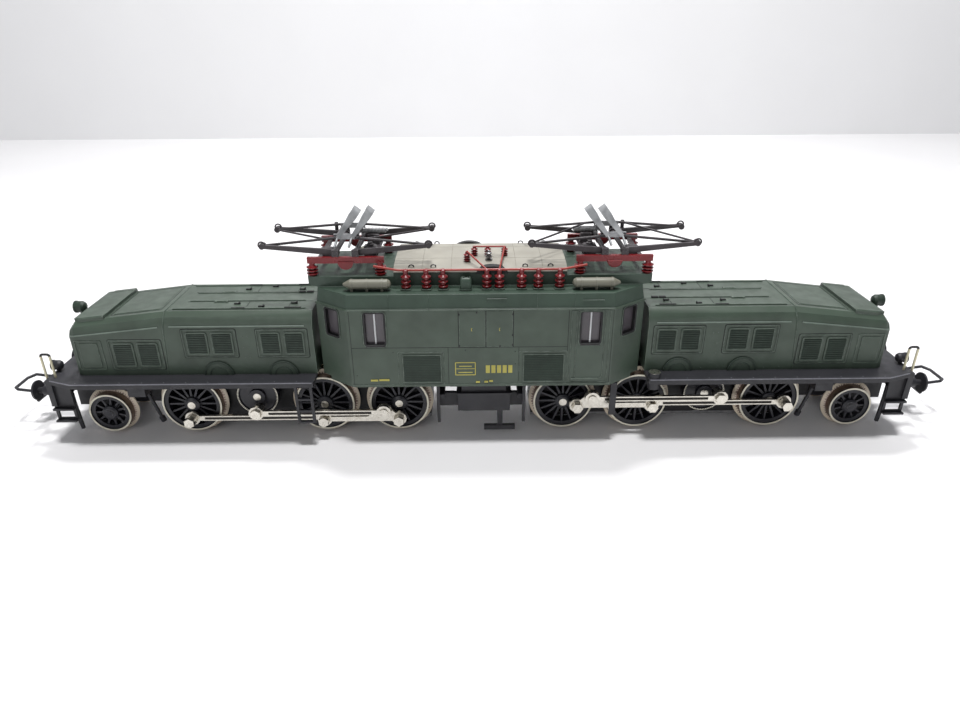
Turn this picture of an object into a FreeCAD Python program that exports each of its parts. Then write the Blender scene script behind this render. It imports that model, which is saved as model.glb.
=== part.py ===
import FreeCAD, Part
import Sketcher
import math
import operator
import os

# An articulated electric rail locomotive to a scale of 1:87: two bogies with low hoods, a cab body between
# them, and two pantographs. Millimetres. +X runs along the track, +Z is up, and the origin is under the
# middle of the body, on the level of the flanges. Turned half a turn about Z the locomotive is the same, so
# each bogie piece is built once, at the rear (+X), and its twin at the front is the same piece turned.

V = FreeCAD.Vector
doc = FreeCAD.newDocument("Locomotive")

DRIVING = {
    # wheels and axles
    "flange_height": 1.1, "tread_radius": 7.75, "pony_radius": 5.45, "wheel_back": 7.0, "tyre_width": 3.2,
    "tyre_ring": 0.45, "rim_depth": 1.5, "axle_radius": 1.0, "pony_axle_radius": 0.9, "hub_radius": 2.0,
    "bore_play": 0.06,
    "outer_axle": 75.9, "middle_axle": 41.0, "inner_axle": 21.5, "pony_axle": 97.9,
    "jackshaft_place": 58.4, "jack_disc_radius": 5.3,
    # cranks and rods: three layers outside the wheels
    "crank": 3.4, "pin_radius": 0.8, "boss_radius": 1.3, "boss_proud": 0.45, "layer": 0.95, "rod_thick": 0.85,
    "rod_half": 0.68, "flute_half": 0.36, "flute_depth": 0.35, "eye_radius": 1.95, "lug_ahead": 3.8,
    "lug_rise": 2.35, "head_radius": 1.4, "head_face": 14.3,
    # bogie
    "bogie_pivot": 31.2, "pivot_radius": 1.9, "frame_half": 6.2, "frame_hollow": 4.4, "frame_low": 3.3,
    "frame_top": 16.5, "frame_inner": 13.4, "frame_outer": 83.0, "keeper_thick": 0.9,
    "pony_pivot": 86.6, "deck_low": 17.4, "deck_top": 18.6, "deck_half": 17.0, "deck_open": 10.7,
    "deck_inner": 41.8, "deck_taper": 102.0, "deck_outer": 108.4, "beam_outer": 109.5, "beam_half": 14.6,
    "beam_low": 11.2, "buffer_offset": 10.1, "buffer_height": 13.6, "buffer_face": 115.4, "buffer_head": 2.65,
    "coupler_pivot": 105.4, "coupler_height": 9.2, "hoop_pivot": 118.4, "hoop_reach": 126.2,
    "hoop_half": 4.4,
    # hood
    "hood_half": 11.8, "hood_flat": 9.6, "hood_inner": 41.6, "hood_bend": 78.0, "hood_nose": 102.3,
    "hood_eave": 31.8, "hood_top": 35.1, "nose_eave": 29.5, "nose_top": 32.5, "nose_round": 1.5,
    "hood_wall": 0.9,
    # body
    "body_half": 17.0, "body_side": 32.0, "body_end": 40.1, "end_half": 11.0, "body_low": 17.3,
    "body_eave": 38.0, "roof_edge": 41.5, "roof_lean": 0.7, "body_wall": 0.9, "floor_low": 18.1,
    "floor_top": 19.5, "lantern_half": 10.4, "lantern_end": 20.9, "lantern_top": 44.9, "cab_deck_end": 41.8,
    "cab_deck_shoulder": 39.6, "cab_deck_nose": 9.3, "cab_deck_top": 44.0,
    "cover_half": 10.7, "cover_crown": 46.7, "window_low": 28.6, "window_high": 37.2,
    # pantographs
    "panto_place": 32.3, "panto_pivot": 2.4, "panto_height": 49.3, "arm_length": 17.6, "arm_lean": 5.0,
    "arm_offset": 8.0, "head_offset": 7.2, "insulator_height": 3.0, "foot_offset": 8.2, "foot_radius": 1.4,
    "beam_offset": 9.0, "beam_reach": 9.2, "beam_thick": 1.5, "strip_half": 8.0, "strip_bow": 6.3,
    "strip_lean": 38.0,
    # drive in the front bogie
    "tooth_module": 0.4, "motor_ahead": 3.6, "idler_ahead": 5.2, "stator_radius": 5.7,
    "armature_radius": 4.1,
}


WORK = {"+": operator.add, "-": operator.sub, "*": operator.mul, "/": operator.truediv}


class Size:
    """A length that carries its expression on the sheet together with its value."""

    def __init__(self, text, value):
        self.text, self.value = text, value

    def __str__(self):
        return self.text

    def __float__(self):
        return float(self.value)

    def joined(self, other, sign, swap=False):
        one, two = (other, self) if swap else (self, other)
        return Size(f"({one} {sign} {two})", WORK[sign](float(one), float(two)))

    def __add__(self, other):
        return self.joined(other, "+")

    def __radd__(self, other):
        return self.joined(other, "+", swap=True)

    def __sub__(self, other):
        return self.joined(other, "-")

    def __rsub__(self, other):
        return self.joined(other, "-", swap=True)

    def __mul__(self, other):
        return self.joined(other, "*")

    def __rmul__(self, other):
        return self.joined(other, "*", swap=True)

    def __truediv__(self, other):
        return self.joined(other, "/")

    def __neg__(self):
        return self.joined(-1, "*")

    def __lt__(self, other):
        return float(self) < float(other)


class Sizes:
    """Every cell of the sheet by its alias."""


sheet = doc.addObject("Spreadsheet::Sheet", "Sizes")
at = Sizes()
for row, (alias, value) in enumerate(DRIVING.items(), start=1):
    sheet.set(f"A{row}", alias)
    sheet.set(f"B{row}", str(value))
    sheet.setAlias(f"B{row}", alias)
    setattr(at, alias, Size(f"Sizes.{alias}", value))
doc.recompute()

axle_height = at.tread_radius + at.flange_height
pony_height = at.pony_radius + at.flange_height
jackshaft_height = axle_height + at.lug_rise
wheel_face = at.wheel_back + at.tyre_width
boss_face = wheel_face + at.boss_proud


# ---------------------------------------------------------------- making and placing
def bind(item, **sizes):
    for name, size in sizes.items():
        item.setExpression(name, str(size))


def place(item, x=0, y=0, z=0, axis=None, angle=0):
    """Moves an object to a point, after turning it about an axis."""
    if axis:
        item.Placement = FreeCAD.Placement(V(), FreeCAD.Rotation(V(*axis), angle))
    for letter, size in zip("xyz", (x, y, z)):
        item.setExpression(f".Placement.Base.{letter}", str(size))
    return item


def box(name, xs, ys, zs):
    """A block between two values on each axis."""
    b = doc.addObject("Part::Box", name)
    bind(b, Length=xs[1] - xs[0], Width=ys[1] - ys[0], Height=zs[1] - zs[0])
    return place(b, xs[0], ys[0], zs[0])


ALONG = {"x": ((0, 1, 0), 90), "y": ((1, 0, 0), -90), "z": ((0, 0, 1), 0)}


def spot_on(axis, start, others):
    return {"x": (start, *others), "y": (others[0], start, others[1]), "z": (*others, start)}[axis]


def rod(name, axis, radius, start, end, others):
    """A cylinder along an axis from start to end. Its other two coordinates are in others."""
    c = doc.addObject("Part::Cylinder", name)
    bind(c, Radius=radius, Height=end - start)
    return place(c, *spot_on(axis, start, others), *ALONG[axis])


def prism(name, corners, radius, start, end, others):
    """A prism along Y with a regular outline."""
    p = doc.addObject("Part::Prism", name)
    p.Polygon = corners
    bind(p, Circumradius=radius, Height=end - start)
    return place(p, *spot_on("y", start, others), *ALONG["y"])


def fuse(name, *pieces):
    f = doc.addObject("Part::MultiFuse", name)
    f.Shapes = list(pieces)
    return f


def cut(name, base, *tools):
    c = doc.addObject("Part::Cut", name)
    c.Base = base
    c.Tool = tools[0] if len(tools) == 1 else group(name + "_tools", *tools)
    return c


def group(name, *pieces):
    """Solids that don't overlap, kept together as one object."""
    g = doc.addObject("Part::Compound", name)
    g.Links = list(pieces)
    return g


def copy(name, piece, x=0, y=0, z=0, axis=None, angle=0):
    return place(group(name, piece), x, y, z, axis, angle)


def half_turn(name, piece):
    """The piece turned half a turn about Z."""
    return copy(name, piece, axis=(0, 0, 1), angle=180)


def mirror(name, piece, normal=(0, 1, 0)):
    m = doc.addObject("Part::Mirroring", name)
    m.Source = piece
    m.Normal = V(*normal)
    return m


def both(name, piece, normal=(0, 1, 0)):
    """The piece and its mirror image."""
    return group(name, piece, mirror(name + "_twin", piece, normal))


# ---------------------------------------------------------------- sketches
def sketch(body, name, plane, lift=0):
    s = body.newObject("Sketcher::SketchObject", name)
    s.AttachmentSupport = [([f for f in body.Origin.OriginFeatures if f.Role == plane][0], "")]
    s.MapMode = "FlatFace"
    s.setExpression(".AttachmentOffset.Base.z", str(lift))
    return s


def fix_point(s, line, end, point):
    """Holds one end of a line at a point, each coordinate bound to its size."""
    for kind, size, across in (("DistanceX", point[0], -2), ("DistanceY", point[1], -1)):
        if abs(float(size)) < 1e-9:
            s.addConstraint(Sketcher.Constraint("PointOnObject", line, end, across))
            continue
        n = s.addConstraint(Sketcher.Constraint(kind, -1, 1, line, end, float(size)))
        s.setExpression(f"Constraints[{n}]", str(size))


def outline(body, name, plane, points, lift=0):
    """A closed outline of straight lines through points, on a plane of the body's origin, raised by lift."""
    s = sketch(body, name, plane, lift)
    spots = [V(float(x), float(y), 0) for x, y in points]
    for a, b in zip(spots, spots[1:] + spots[:1]):
        s.addGeometry(Part.LineSegment(a, b), False)
    for i, point in enumerate(points):
        s.addConstraint(Sketcher.Constraint("Coincident", i - 1 if i else len(points) - 1, 2, i, 1))
        fix_point(s, i, 1, point)
    return s


def pad(body, name, profile, length):
    p = body.newObject("PartDesign::Pad", name)
    p.Profile = profile
    bind(p, Length=length)
    return p


def padded(name, plane, points, start, end):
    """A body with one outline padded from start to end along its plane's normal, which is -Y for XZ_Plane."""
    body = doc.addObject("PartDesign::Body", name)
    pad(body, name + "_pad", outline(body, name + "_outline", plane, points, start), end - start)
    return body


def revolve(body, name, points, axis="V_Axis"):
    """An outline on the XY plane turned about that plane's Y axis, or its X axis."""
    profile = outline(body, name + "_profile", "XY_Plane", points)
    r = body.newObject("PartDesign::Revolution", name)
    r.Profile = profile
    r.ReferenceAxis = (profile, [axis])
    r.Angle = 360
    return r


def turned(name, points, axis="V_Axis"):
    body = doc.addObject("PartDesign::Body", name)
    revolve(body, name + "_turned", points, axis)
    return body


def lofted(body, name, kind, sections):
    loft = body.newObject(kind, name)
    loft.Profile, *loft_sections = sections
    loft.Sections = loft_sections
    loft.Ruled = True
    return loft


def bent_path(points, bend):
    """A path through points, its corners rounded by arcs of the bend radius."""
    spots = [V(*(float(c) for c in p)) for p in points]
    edges, last = [], spots[0]
    for before, corner, after in zip(spots, spots[1:], spots[2:]):
        back, ahead = (before - corner).normalize(), (after - corner).normalize()
        half = (math.pi - back.getAngle(ahead)) / 2
        start, end = (corner + way * bend * math.tan(half) for way in (back, ahead))
        inside = (back + ahead).normalize() * bend * (1 / math.cos(half) - 1)
        edges += [Part.LineSegment(last, start).toShape(), Part.Arc(start, corner + inside, end).toShape()]
        last = end
    edges.append(Part.LineSegment(last, spots[-1]).toShape())
    return Part.Wire(edges), spots[0], (spots[1] - spots[0]).normalize()


def bent_wire(name, points, radius, bend):
    """A round wire along a bent path."""
    path, start, way = bent_path(points, bend)
    wire = doc.addObject("Part::Feature", name)
    wire.Shape = path.makePipeShell([Part.Wire(Part.makeCircle(radius, start, way))], True, True)
    return wire


def bent_band(name, points, width, thick, bend):
    """A flat band along a bent path across the track, its width along X."""
    path, start, way = bent_path(points, bend)
    across, up = V(width / 2, 0, 0), V(thick / 2, 0, 0).cross(way) * -1
    corners = [start + across * i + up * j for i, j in ((-1, -1), (1, -1), (1, 1), (-1, 1))]
    ring = Part.makePolygon(corners + corners[:1])
    band = doc.addObject("Part::Feature", name)
    band.Shape = path.makePipeShell([ring], True, True)
    return band


def tube(name, start, end, radius):
    """A straight bar between two points."""
    start, end = V(*(float(c) for c in start)), V(*(float(c) for c in end))
    bar = doc.addObject("Part::Feature", name)
    bar.Shape = Part.makeCylinder(radius, (end - start).Length, start, end - start)
    return bar


# ---------------------------------------------------------------- wheels
def spoked_wheel(name, tread, spokes, back=at.wheel_back, width=at.tyre_width):
    """The wheel on the near side (-Y) of an axle at the origin: tyre with flange, spokes and hub."""
    body = doc.addObject("PartDesign::Body", name)
    rim, face = tread - at.rim_depth, back + width
    flange, ring_edge = tread + at.flange_height, tread - at.tyre_ring
    revolve(body, name + "_tyre", [
        (rim, -back), (flange - 0.3, -back), (flange, -back - 0.3), (flange, -back - 0.6),
        (tread, -back - 1.0), (tread, -face), (ring_edge, -face), (ring_edge - 0.15, -face + 0.35),
        (rim, -face + 0.35),
    ])
    revolve(body, name + "_hub", [
        (0, -back + 0.3), (at.hub_radius, -back + 0.3), (at.hub_radius, -face),
        (at.hub_radius - 0.5, -face - 0.3), (0, -face - 0.3),
    ])
    spoke = outline(body, name + "_spoke_outline", "XZ_Plane", [
        (1.4, -0.3), (rim + 0.2, -0.19), (rim + 0.2, 0.19), (1.4, 0.3),
    ], back + 0.8)
    spoke_pad = pad(body, name + "_spoke", spoke, width - 1.4)
    ring = body.newObject("PartDesign::PolarPattern", name + "_spokes")
    ring.Originals = [spoke_pad]
    ring.Axis = (spoke, ["N_Axis"])
    ring.Angle = 360
    ring.Occurrences = spokes
    body.Tip = ring
    return body


def crank_side(name, wheel, base, layers):
    """A wheel or disc on the near side with its crank at +X: boss, pin through the rods, and screw head."""
    low, high = boss_face + at.layer * (layers[0] - 1), boss_face + at.layer * layers[-1]
    spot = (at.crank, 0)
    return fuse(
        name, wheel,
        rod(name + "_boss", "y", at.boss_radius, -low, -base, spot),
        rod(name + "_pin", "y", at.pin_radius, -high - 0.2, -low + 0.2, spot),
        prism(name + "_head", 6, at.head_radius, -at.head_face, -high, spot),
    )


def crank_axle(name, side, radius, end, x, z, *extras):
    """An axle with a crank side at each end, the far crank a quarter turn from the near one."""
    far = copy(name + "_far", mirror(name + "_mirror", side), axis=(0, 1, 0), angle=90)
    axle = rod(name + "_axle", "y", radius, -end, end, (0, 0))
    pressed_on = [cut(f"{name}_bored_{i}", piece, axle) for i, piece in enumerate((side, far, *extras))]
    return copy(name, group(name + "_set", *pressed_on, axle), x, 0, z)


def gear(name, teeth, radius, thickness, start, turn=0):
    """A spur gear along Y, with slim straight-sided teeth that keep clear of their mates."""
    pitch_radius, step = radius, 2 * math.pi / teeth
    tall = 2 * pitch_radius / teeth
    tooth = [(-1.1, 0.31), (0.0, 0.2), (0.75, 0.1)]
    corners = []
    for i in range(teeth):
        middle = math.radians(turn) + i * step
        for rise, half in tooth + [(r, -h) for r, h in reversed(tooth)]:
            angle, reach = middle - half * step, pitch_radius + rise * tall
            corners.append(V(reach * math.cos(angle), start, reach * math.sin(angle)))
    wheel = doc.addObject("Part::Feature", name)
    wheel.Shape = Part.Face(Part.makePolygon(corners + corners[:1])).extrude(V(0, thickness, 0))
    return wheel


def pitch(teeth):
    return float(at.tooth_module) * teeth / 2


parts = {}


def keep(name, piece, twin=True):
    """Takes a finished piece at the rear as a sub-part, with its twin at the front."""
    if twin:
        parts[name + "_front"] = half_turn(name + "_front", piece)
        name += "_rear"
    parts[name] = piece


driving_wheel = spoked_wheel("driving_wheel", at.tread_radius, 16)
pony_wheel = spoked_wheel("pony_wheel", at.pony_radius, 11)
disc_edge, disc_back = at.jack_disc_radius, at.wheel_back + 1.2
jack_disc = turned("jack_disc", [
    (0, -disc_back), (disc_edge, -disc_back), (disc_edge, -wheel_face),
    (disc_edge - at.tyre_ring, -wheel_face),
    (disc_edge - at.tyre_ring - 0.2, -wheel_face + 0.4), (at.hub_radius + 0.2, -wheel_face + 0.4),
    (at.hub_radius, -wheel_face - 0.3), (0, -wheel_face - 0.3),
])
# The drive runs in the front bogie: motor pinion, a double idler, and a gear on the middle axle. Each is
# built at the rear and turned to the front with its bogie.
PINION, IDLER_LARGE, IDLER_SMALL, AXLE_GEAR = 10, 24, 12, 24
idler_rise = math.sqrt((pitch(AXLE_GEAR) + pitch(IDLER_SMALL)) ** 2 - float(at.idler_ahead) ** 2)
motor_rise = math.sqrt((pitch(PINION) + pitch(IDLER_LARGE)) ** 2 - float(at.motor_ahead) ** 2)
idler_spot = (at.middle_axle + at.idler_ahead, axle_height + idler_rise)
motor_spot = (idler_spot[0] + at.motor_ahead, idler_spot[1] + motor_rise)
idler_line = math.degrees(math.atan2(idler_rise, float(at.idler_ahead)))
motor_line = math.degrees(math.atan2(motor_rise, float(at.motor_ahead)))

axle_end = wheel_face + 0.45
boss_base = at.wheel_back + 1.4
outer_side = crank_side("outer_side", driving_wheel, boss_base, [1])
middle_side = crank_side("middle_side", driving_wheel, boss_base, [1, 2])
inner_side = crank_side("inner_side", driving_wheel, boss_base, [2])
jack_side = crank_side("jack_side", jack_disc, boss_base, [3])


def driven_axle(name, side, x, z, *extras):
    return crank_axle(name, side, at.axle_radius, axle_end, x, z, *extras)


keep("outer_wheels", driven_axle("outer_wheels", outer_side, at.outer_axle, axle_height))
keep("inner_wheels", driven_axle("inner_wheels", inner_side, at.inner_axle, axle_height))
keep("jackshaft", driven_axle("jackshaft", jack_side, at.jackshaft_place, jackshaft_height))
parts["middle_wheels_rear"] = driven_axle("middle_wheels", middle_side, at.middle_axle, axle_height)
axle_gear = gear("axle_gear", AXLE_GEAR, pitch(AXLE_GEAR), 1.0, 3.2, idler_line)
geared = driven_axle("geared_wheels", middle_side, at.middle_axle, axle_height, axle_gear)
parts["middle_wheels_front"] = half_turn("middle_wheels_front", geared)
pony_bar = rod("pony_axle_bar", "y", at.pony_axle_radius, -axle_end, axle_end, (0, 0))
pony_set = group("pony_set", both("pony_pair", cut("pony_bored", pony_wheel, pony_bar)), pony_bar)
keep("pony_wheels", copy("pony_wheels", pony_set, at.pony_axle, 0, pony_height))


# ---------------------------------------------------------------- rods
FLUTE_GAP = 3.2


def layer_span(n):
    """The two faces of a rod in one layer, on the near side."""
    inner = boss_face + at.layer * (n - 1) + (at.layer - at.rod_thick) / 2
    return -inner - at.rod_thick, -inner


def side_rod(name, n, start, end, half, fluted=False):
    """A level rod in layer n between two pin centres, each (x, z), with an eye round each pin."""
    faces, height, spots = layer_span(n), start[1], (start, end)
    bar = box(name + "_bar", (start[0], end[0]), faces, (height - half, height + half))
    eyes = [prism(f"{name}_eye_{i}", 12, at.eye_radius, *faces, spot) for i, spot in enumerate(spots)]
    hollows = [rod(f"{name}_bore_{i}", "y", at.pin_radius + at.bore_play, faces[0] - 1, faces[1] + 1, spot)
               for i, spot in enumerate(spots)]
    if fluted:
        hollows.append(box(name + "_flute", (start[0] + FLUTE_GAP, end[0] - FLUTE_GAP),
                           (faces[0] - 1, faces[0] + at.flute_depth),
                           (height - at.flute_half, height + at.flute_half)))
    return cut(name, fuse(name + "_solid", bar, *eyes), *hollows)


def rod_set(name, pin):
    """The rods of the near side, for crank pins that stand pin = (x, z) from their axles."""
    def on(axle, ahead=0, height=axle_height, rise=0):
        return axle + pin[0] + ahead, height + pin[1] + rise

    inner, lug = on(at.inner_axle), on(at.inner_axle, at.lug_ahead, rise=at.lug_rise)
    low, high = layer_span(2)[0], layer_span(3)[0]
    foot = inner[1] + at.rod_half
    coupling = side_rod(name + "_coupling", 2, inner, on(at.middle_axle), at.rod_half)
    plate = doc.addObject("PartDesign::Body", name + "_lug_plate")
    corners = [(inner[0] + 1.0, foot), (inner[0] + 1.0, inner[1] + 1.8), (lug[0] - 1.2, lug[1] + 0.9),
               (lug[0] + 1.2, lug[1] + 0.9), (lug[0] + 4.4, foot)]
    profile = outline(plate, name + "_lug_outline", "XZ_Plane", corners, -layer_span(2)[1])
    pad(plate, name + "_lug_pad", profile, at.rod_thick)
    lugged = fuse(name + "_lugged", coupling, plate,
                  rod(name + "_lug_eye", "y", at.eye_radius, *layer_span(2), lug))
    lug_pin = fuse(name + "_lug_rivet",
                   rod(name + "_lug_pin", "y", at.pin_radius, high - 0.2, low, lug),
                   rod(name + "_lug_head", "y", at.pin_radius + 0.3, high - 0.35, high - 0.05, lug))
    outer = side_rod(name + "_outer", 1, on(at.middle_axle), on(at.outer_axle), at.rod_half, fluted=True)
    jack_pin = on(at.jackshaft_place, height=jackshaft_height)
    return group(name, lugged, lug_pin, outer,
                 side_rod(name + "_jack", 3, lug, jack_pin, at.rod_half, fluted=True))


keep("right_rods", rod_set("right_rods", (at.crank, 0)))
keep("left_rods", mirror("left_rods", rod_set("down_rods", (0, -at.crank))))

# ---------------------------------------------------------------- bogie
BAY_TOP = 14.6
BAYS = {"inner": ((15.4, 27.6), BAY_TOP), "middle": ((34.8, 55.6), at.frame_top + 1),
        "outer": ((61.6, 81.0), BAY_TOP)}
STRETCHER = (57.5, 65.5)
KEEPER_SCREWS = (31.2, 59.0)
IDLER_SHAFT = 0.7
PONY_PIN = 1.0
across_frame = (-at.frame_half - 1, at.frame_half + 1)


def axle_slot(name, x, z, radius):
    """A slot that an axle drops into from below."""
    clear = radius + at.bore_play
    return [rod(name + "_seat", "y", clear, *across_frame, (x, z)),
            box(name + "_way", (x - clear, x + clear), across_frame, (at.frame_low - 1, z))]


def frame(name, with_drive):
    """The bogie's frame: a milled block with a bay round each gear train, axle slots, and the pivots."""
    side, low, top = (-at.frame_half, at.frame_half), at.frame_low, at.frame_top
    on_pivot, on_pony = (at.bogie_pivot, 0), (at.pony_pivot, 0)
    solid = fuse(name + "_solid", box(name + "_block", (at.frame_inner, at.frame_outer), side, (low, top)),
                 box(name + "_nose", (at.frame_outer - 1, at.pony_pivot + 2.6), (-3.4, 3.4), (7.6, top)))
    hollows = [box(f"{name}_{bay}_bay", span, (-at.frame_hollow, at.frame_hollow), (low - 1, height))
               for bay, (span, height) in BAYS.items()]
    for spot in ("inner", "middle", "outer"):
        hollows += axle_slot(f"{name}_{spot}", getattr(at, spot + "_axle"), axle_height, at.axle_radius)
    hollows += axle_slot(name + "_jack", at.jackshaft_place, jackshaft_height, at.axle_radius)
    if with_drive:
        hollows.append(rod(name + "_idler_bore", "y", IDLER_SHAFT + at.bore_play, *across_frame, idler_spot))
    hollows += [rod(f"{name}_screw_hole_{x}", "z", 0.6, low - 1, low + 4, (x, 0)) for x in KEEPER_SCREWS]
    added = [
        box(name + "_stretcher", STRETCHER, (-at.deck_open - 1, at.deck_open + 1), (top + 0.2, at.deck_low)),
        box(name + "_saddle", STRETCHER, side, (top - 0.2, top + 0.5)),
        rod(name + "_rest", "z", 4.2, top - 0.5, at.floor_low - 0.1, on_pivot),
        rod(name + "_pivot", "z", at.pivot_radius, at.floor_low - 0.2, at.floor_top + 0.5, on_pivot),
        rod(name + "_cap", "z", at.pivot_radius + 1.0, at.floor_top + 0.15, at.floor_top + 0.95, on_pivot),
        rod(name + "_pony_pin", "z", PONY_PIN, 5.0, 8.0, on_pony),
        rod(name + "_pony_head", "z", PONY_PIN + 0.7, 4.3, 5.1, on_pony),
    ]
    return fuse(name, cut(name + "_cut", solid, *hollows), *added)


parts["bogie_frame_rear"] = frame("bogie_frame_rear", False)
parts["bogie_frame_front"] = half_turn("bogie_frame_front", frame("drive_frame", True))
SHOE_POSTS, SHOE_POST = (53.0, 67.0), 0.4
keeper_low = at.frame_low - at.keeper_thick
keeper_side = at.frame_half - 0.3
keeper = box("keeper_blank", (at.frame_inner, at.frame_outer), (-keeper_side, keeper_side),
             (keeper_low, at.frame_low))
keeper_holes, keeper_screws = [], []
for x in KEEPER_SCREWS:
    keeper_holes.append(rod(f"keeper_hole_{x}", "z", 0.65, keeper_low - 1, at.frame_low + 1, (x, 0)))
    keeper_screws.append(fuse(
        f"screw_{x}", rod(f"screw_shank_{x}", "z", 0.5, keeper_low, at.frame_low + 3.5, (x, 0)),
        rod(f"screw_head_{x}", "z", 1.1, keeper_low - 0.6, keeper_low, (x, 0))))
keeper_holes += [rod(f"shoe_hole_{x}", "z", SHOE_POST + at.bore_play, keeper_low - 1, at.frame_low + 1,
                     (x, 0)) for x in SHOE_POSTS]
keep("keeper_plate", group("keeper_set", cut("keeper_plate", keeper, *keeper_holes), *keeper_screws))

deck_plan = [
    (at.deck_inner, -at.deck_half), (at.deck_taper, -at.deck_half), (at.deck_outer, -at.beam_half),
    (at.deck_outer, at.beam_half), (at.deck_taper, at.deck_half), (at.deck_inner, at.deck_half),
]
deck = padded("deck", "XY_Plane", deck_plan, at.deck_low, at.deck_top)
beam = box("buffer_beam", (at.deck_outer - 0.3, at.beam_outer), (-at.beam_half, at.beam_half),
           (at.beam_low, at.deck_top))
openings = [box("inner_opening", (at.deck_inner - 1, 56.6), (-at.deck_open, at.deck_open), (16, 20)),
            box("outer_opening", (66.4, 85.4), (-at.deck_open, at.deck_open), (16, 20)),
            box("lamp_gap", (at.deck_outer - 2, at.beam_outer + 1), (-2.2, 2.2), (at.beam_low - 1, 12.6))]
sills = [box(f"sill_{side}", (at.deck_inner, at.deck_taper), sorted((side * 15.4, side * 14.6)),
             (16.3, at.deck_low)) for side in (-1, 1)]
sandboxes = [box(f"sandbox_{side}", (85.2, 89.6), sorted((side * 10.9, side * 14.4)), (13.6, at.deck_low))
             for side in (-1, 1)]
sand_pipes = [tube(f"sand_pipe_{side}", (86.0, side * 11.8, 13.8), (85.0, side * 8.9, 4.2), 0.45)
              for side in (-1, 1)]
nozzles = [tube(f"sand_nozzle_{side}", (85.05, side * 9.05, 4.7), (84.9, side * 8.7, 3.4), 0.75)
           for side in (-1, 1)]
iron_top = at.beam_low + 0.5
irons = [padded(f"guard_iron_{side}", "XZ_Plane", [
    (107.0, 0.7), (107.8, 0.6), (108.3, 4.4), (109.0, 8.0), (109.0, iron_top), (107.4, iron_top),
    (107.4, 8.2)], -side * 8.0 - 0.35, -side * 8.0 + 0.35) for side in (-1, 1)]
COUPLER_PIN = 0.7
coupler_low, on_coupler = at.coupler_height, (at.coupler_pivot, 0)
brackets = [box("coupler_bracket", (at.coupler_pivot - 1.6, at.coupler_pivot + 1.6), (-1.6, 1.6),
                (coupler_low + 1.3, at.deck_low)),
            rod("coupler_pin", "z", COUPLER_PIN, coupler_low - 0.3, coupler_low + 1.5, on_coupler),
            rod("coupler_head", "z", COUPLER_PIN + 0.6, coupler_low - 0.9, coupler_low - 0.2, on_coupler)]
STEP_LOW, STEP_RISE, STEP_SPAN = 6.7, 3.4, (104.2, 109.4)


def end_step(side):
    """A step of two treads below the corner of the deck, its plate open between them."""
    faces = sorted((side * 13.3, side * 13.9))
    plate = box(f"step_plate_{side}", STEP_SPAN, faces, (STEP_LOW, at.deck_low))
    hole = box(f"step_hole_{side}", (STEP_SPAN[0] + 0.7, STEP_SPAN[1] - 0.7),
               (min(faces) - 1, max(faces) + 1), (STEP_LOW + 0.8, STEP_LOW + STEP_RISE))
    treads = [box(f"step_tread_{side}_{i}", STEP_SPAN, sorted((side * 13.4, side * 15.0)),
                  (STEP_LOW + i * STEP_RISE, STEP_LOW + 0.5 + i * STEP_RISE)) for i in range(2)]
    return [cut(f"step_{side}", plate, hole), *treads]


cheeks = [box(f"cheek_{side}", (101.2, at.deck_outer + 0.2), sorted((side * 3.4, side * 4.4)),
              (6.0, at.deck_low + 0.1)) for side in (-1, 1)]
RUNGS = (6.9, 10.2, 13.5)
socket = rod("deck_socket", "z", 1.5, 15.6, 20.0, (43.4, -15.3))
ladder = [box(f"ladder_rail_{x}", (x, x + 0.7), (16.3, 17.0), (RUNGS[0], at.deck_low)) for x in (42.2, 46.0)]
ladder += [box(f"ladder_rung_{z}", (42.2, 46.7), (16.0, 17.0), (z, z + 0.5)) for z in RUNGS]
keep("footplate", fuse(
    "footplate", cut("footplate_cut", fuse("deck_beam", deck, beam), *openings), *sills, *irons, *sandboxes,
    *sand_pipes, *nozzles, *brackets, *cheeks, socket, *ladder, *end_step(-1), *end_step(1)))

truck_low, truck_top = pony_height - 0.9, pony_height + 0.7
truck = fuse(
    "truck_solid",
    box("truck_arm", (at.pony_pivot, at.pony_axle), (-2.2, 2.2), (truck_low, truck_top)),
    rod("truck_eye", "z", 2.4, truck_low, truck_top, (at.pony_pivot, 0)),
    rod("truck_tube", "y", 1.9, -6.3, 6.3, (at.pony_axle, pony_height)))
keep("pony_truck", cut(
    "pony_truck", truck,
    rod("truck_axle_bore", "y", at.pony_axle_radius + at.bore_play, -8, 8, (at.pony_axle, pony_height)),
    rod("truck_pivot_bore", "z", PONY_PIN + at.bore_play, 4, 9, (at.pony_pivot, 0))))

buffer_profile = [
    (at.beam_outer, 0), (at.beam_outer, 2.1), (at.beam_outer + 0.5, 2.1), (at.beam_outer + 0.6, 1.5),
    (at.buffer_face - 2.4, 1.3), (at.buffer_face - 2.3, 0.75), (at.buffer_face - 0.8, 0.75),
    (at.buffer_face - 0.7, at.buffer_head), (at.buffer_face - 0.2, at.buffer_head - 0.1), (at.buffer_face, 0),
]
buffer = copy("buffer_near", turned("buffer", buffer_profile, "H_Axis"), 0, -at.buffer_offset,
              at.buffer_height)
keep("buffers", both("buffers", buffer))

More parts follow.
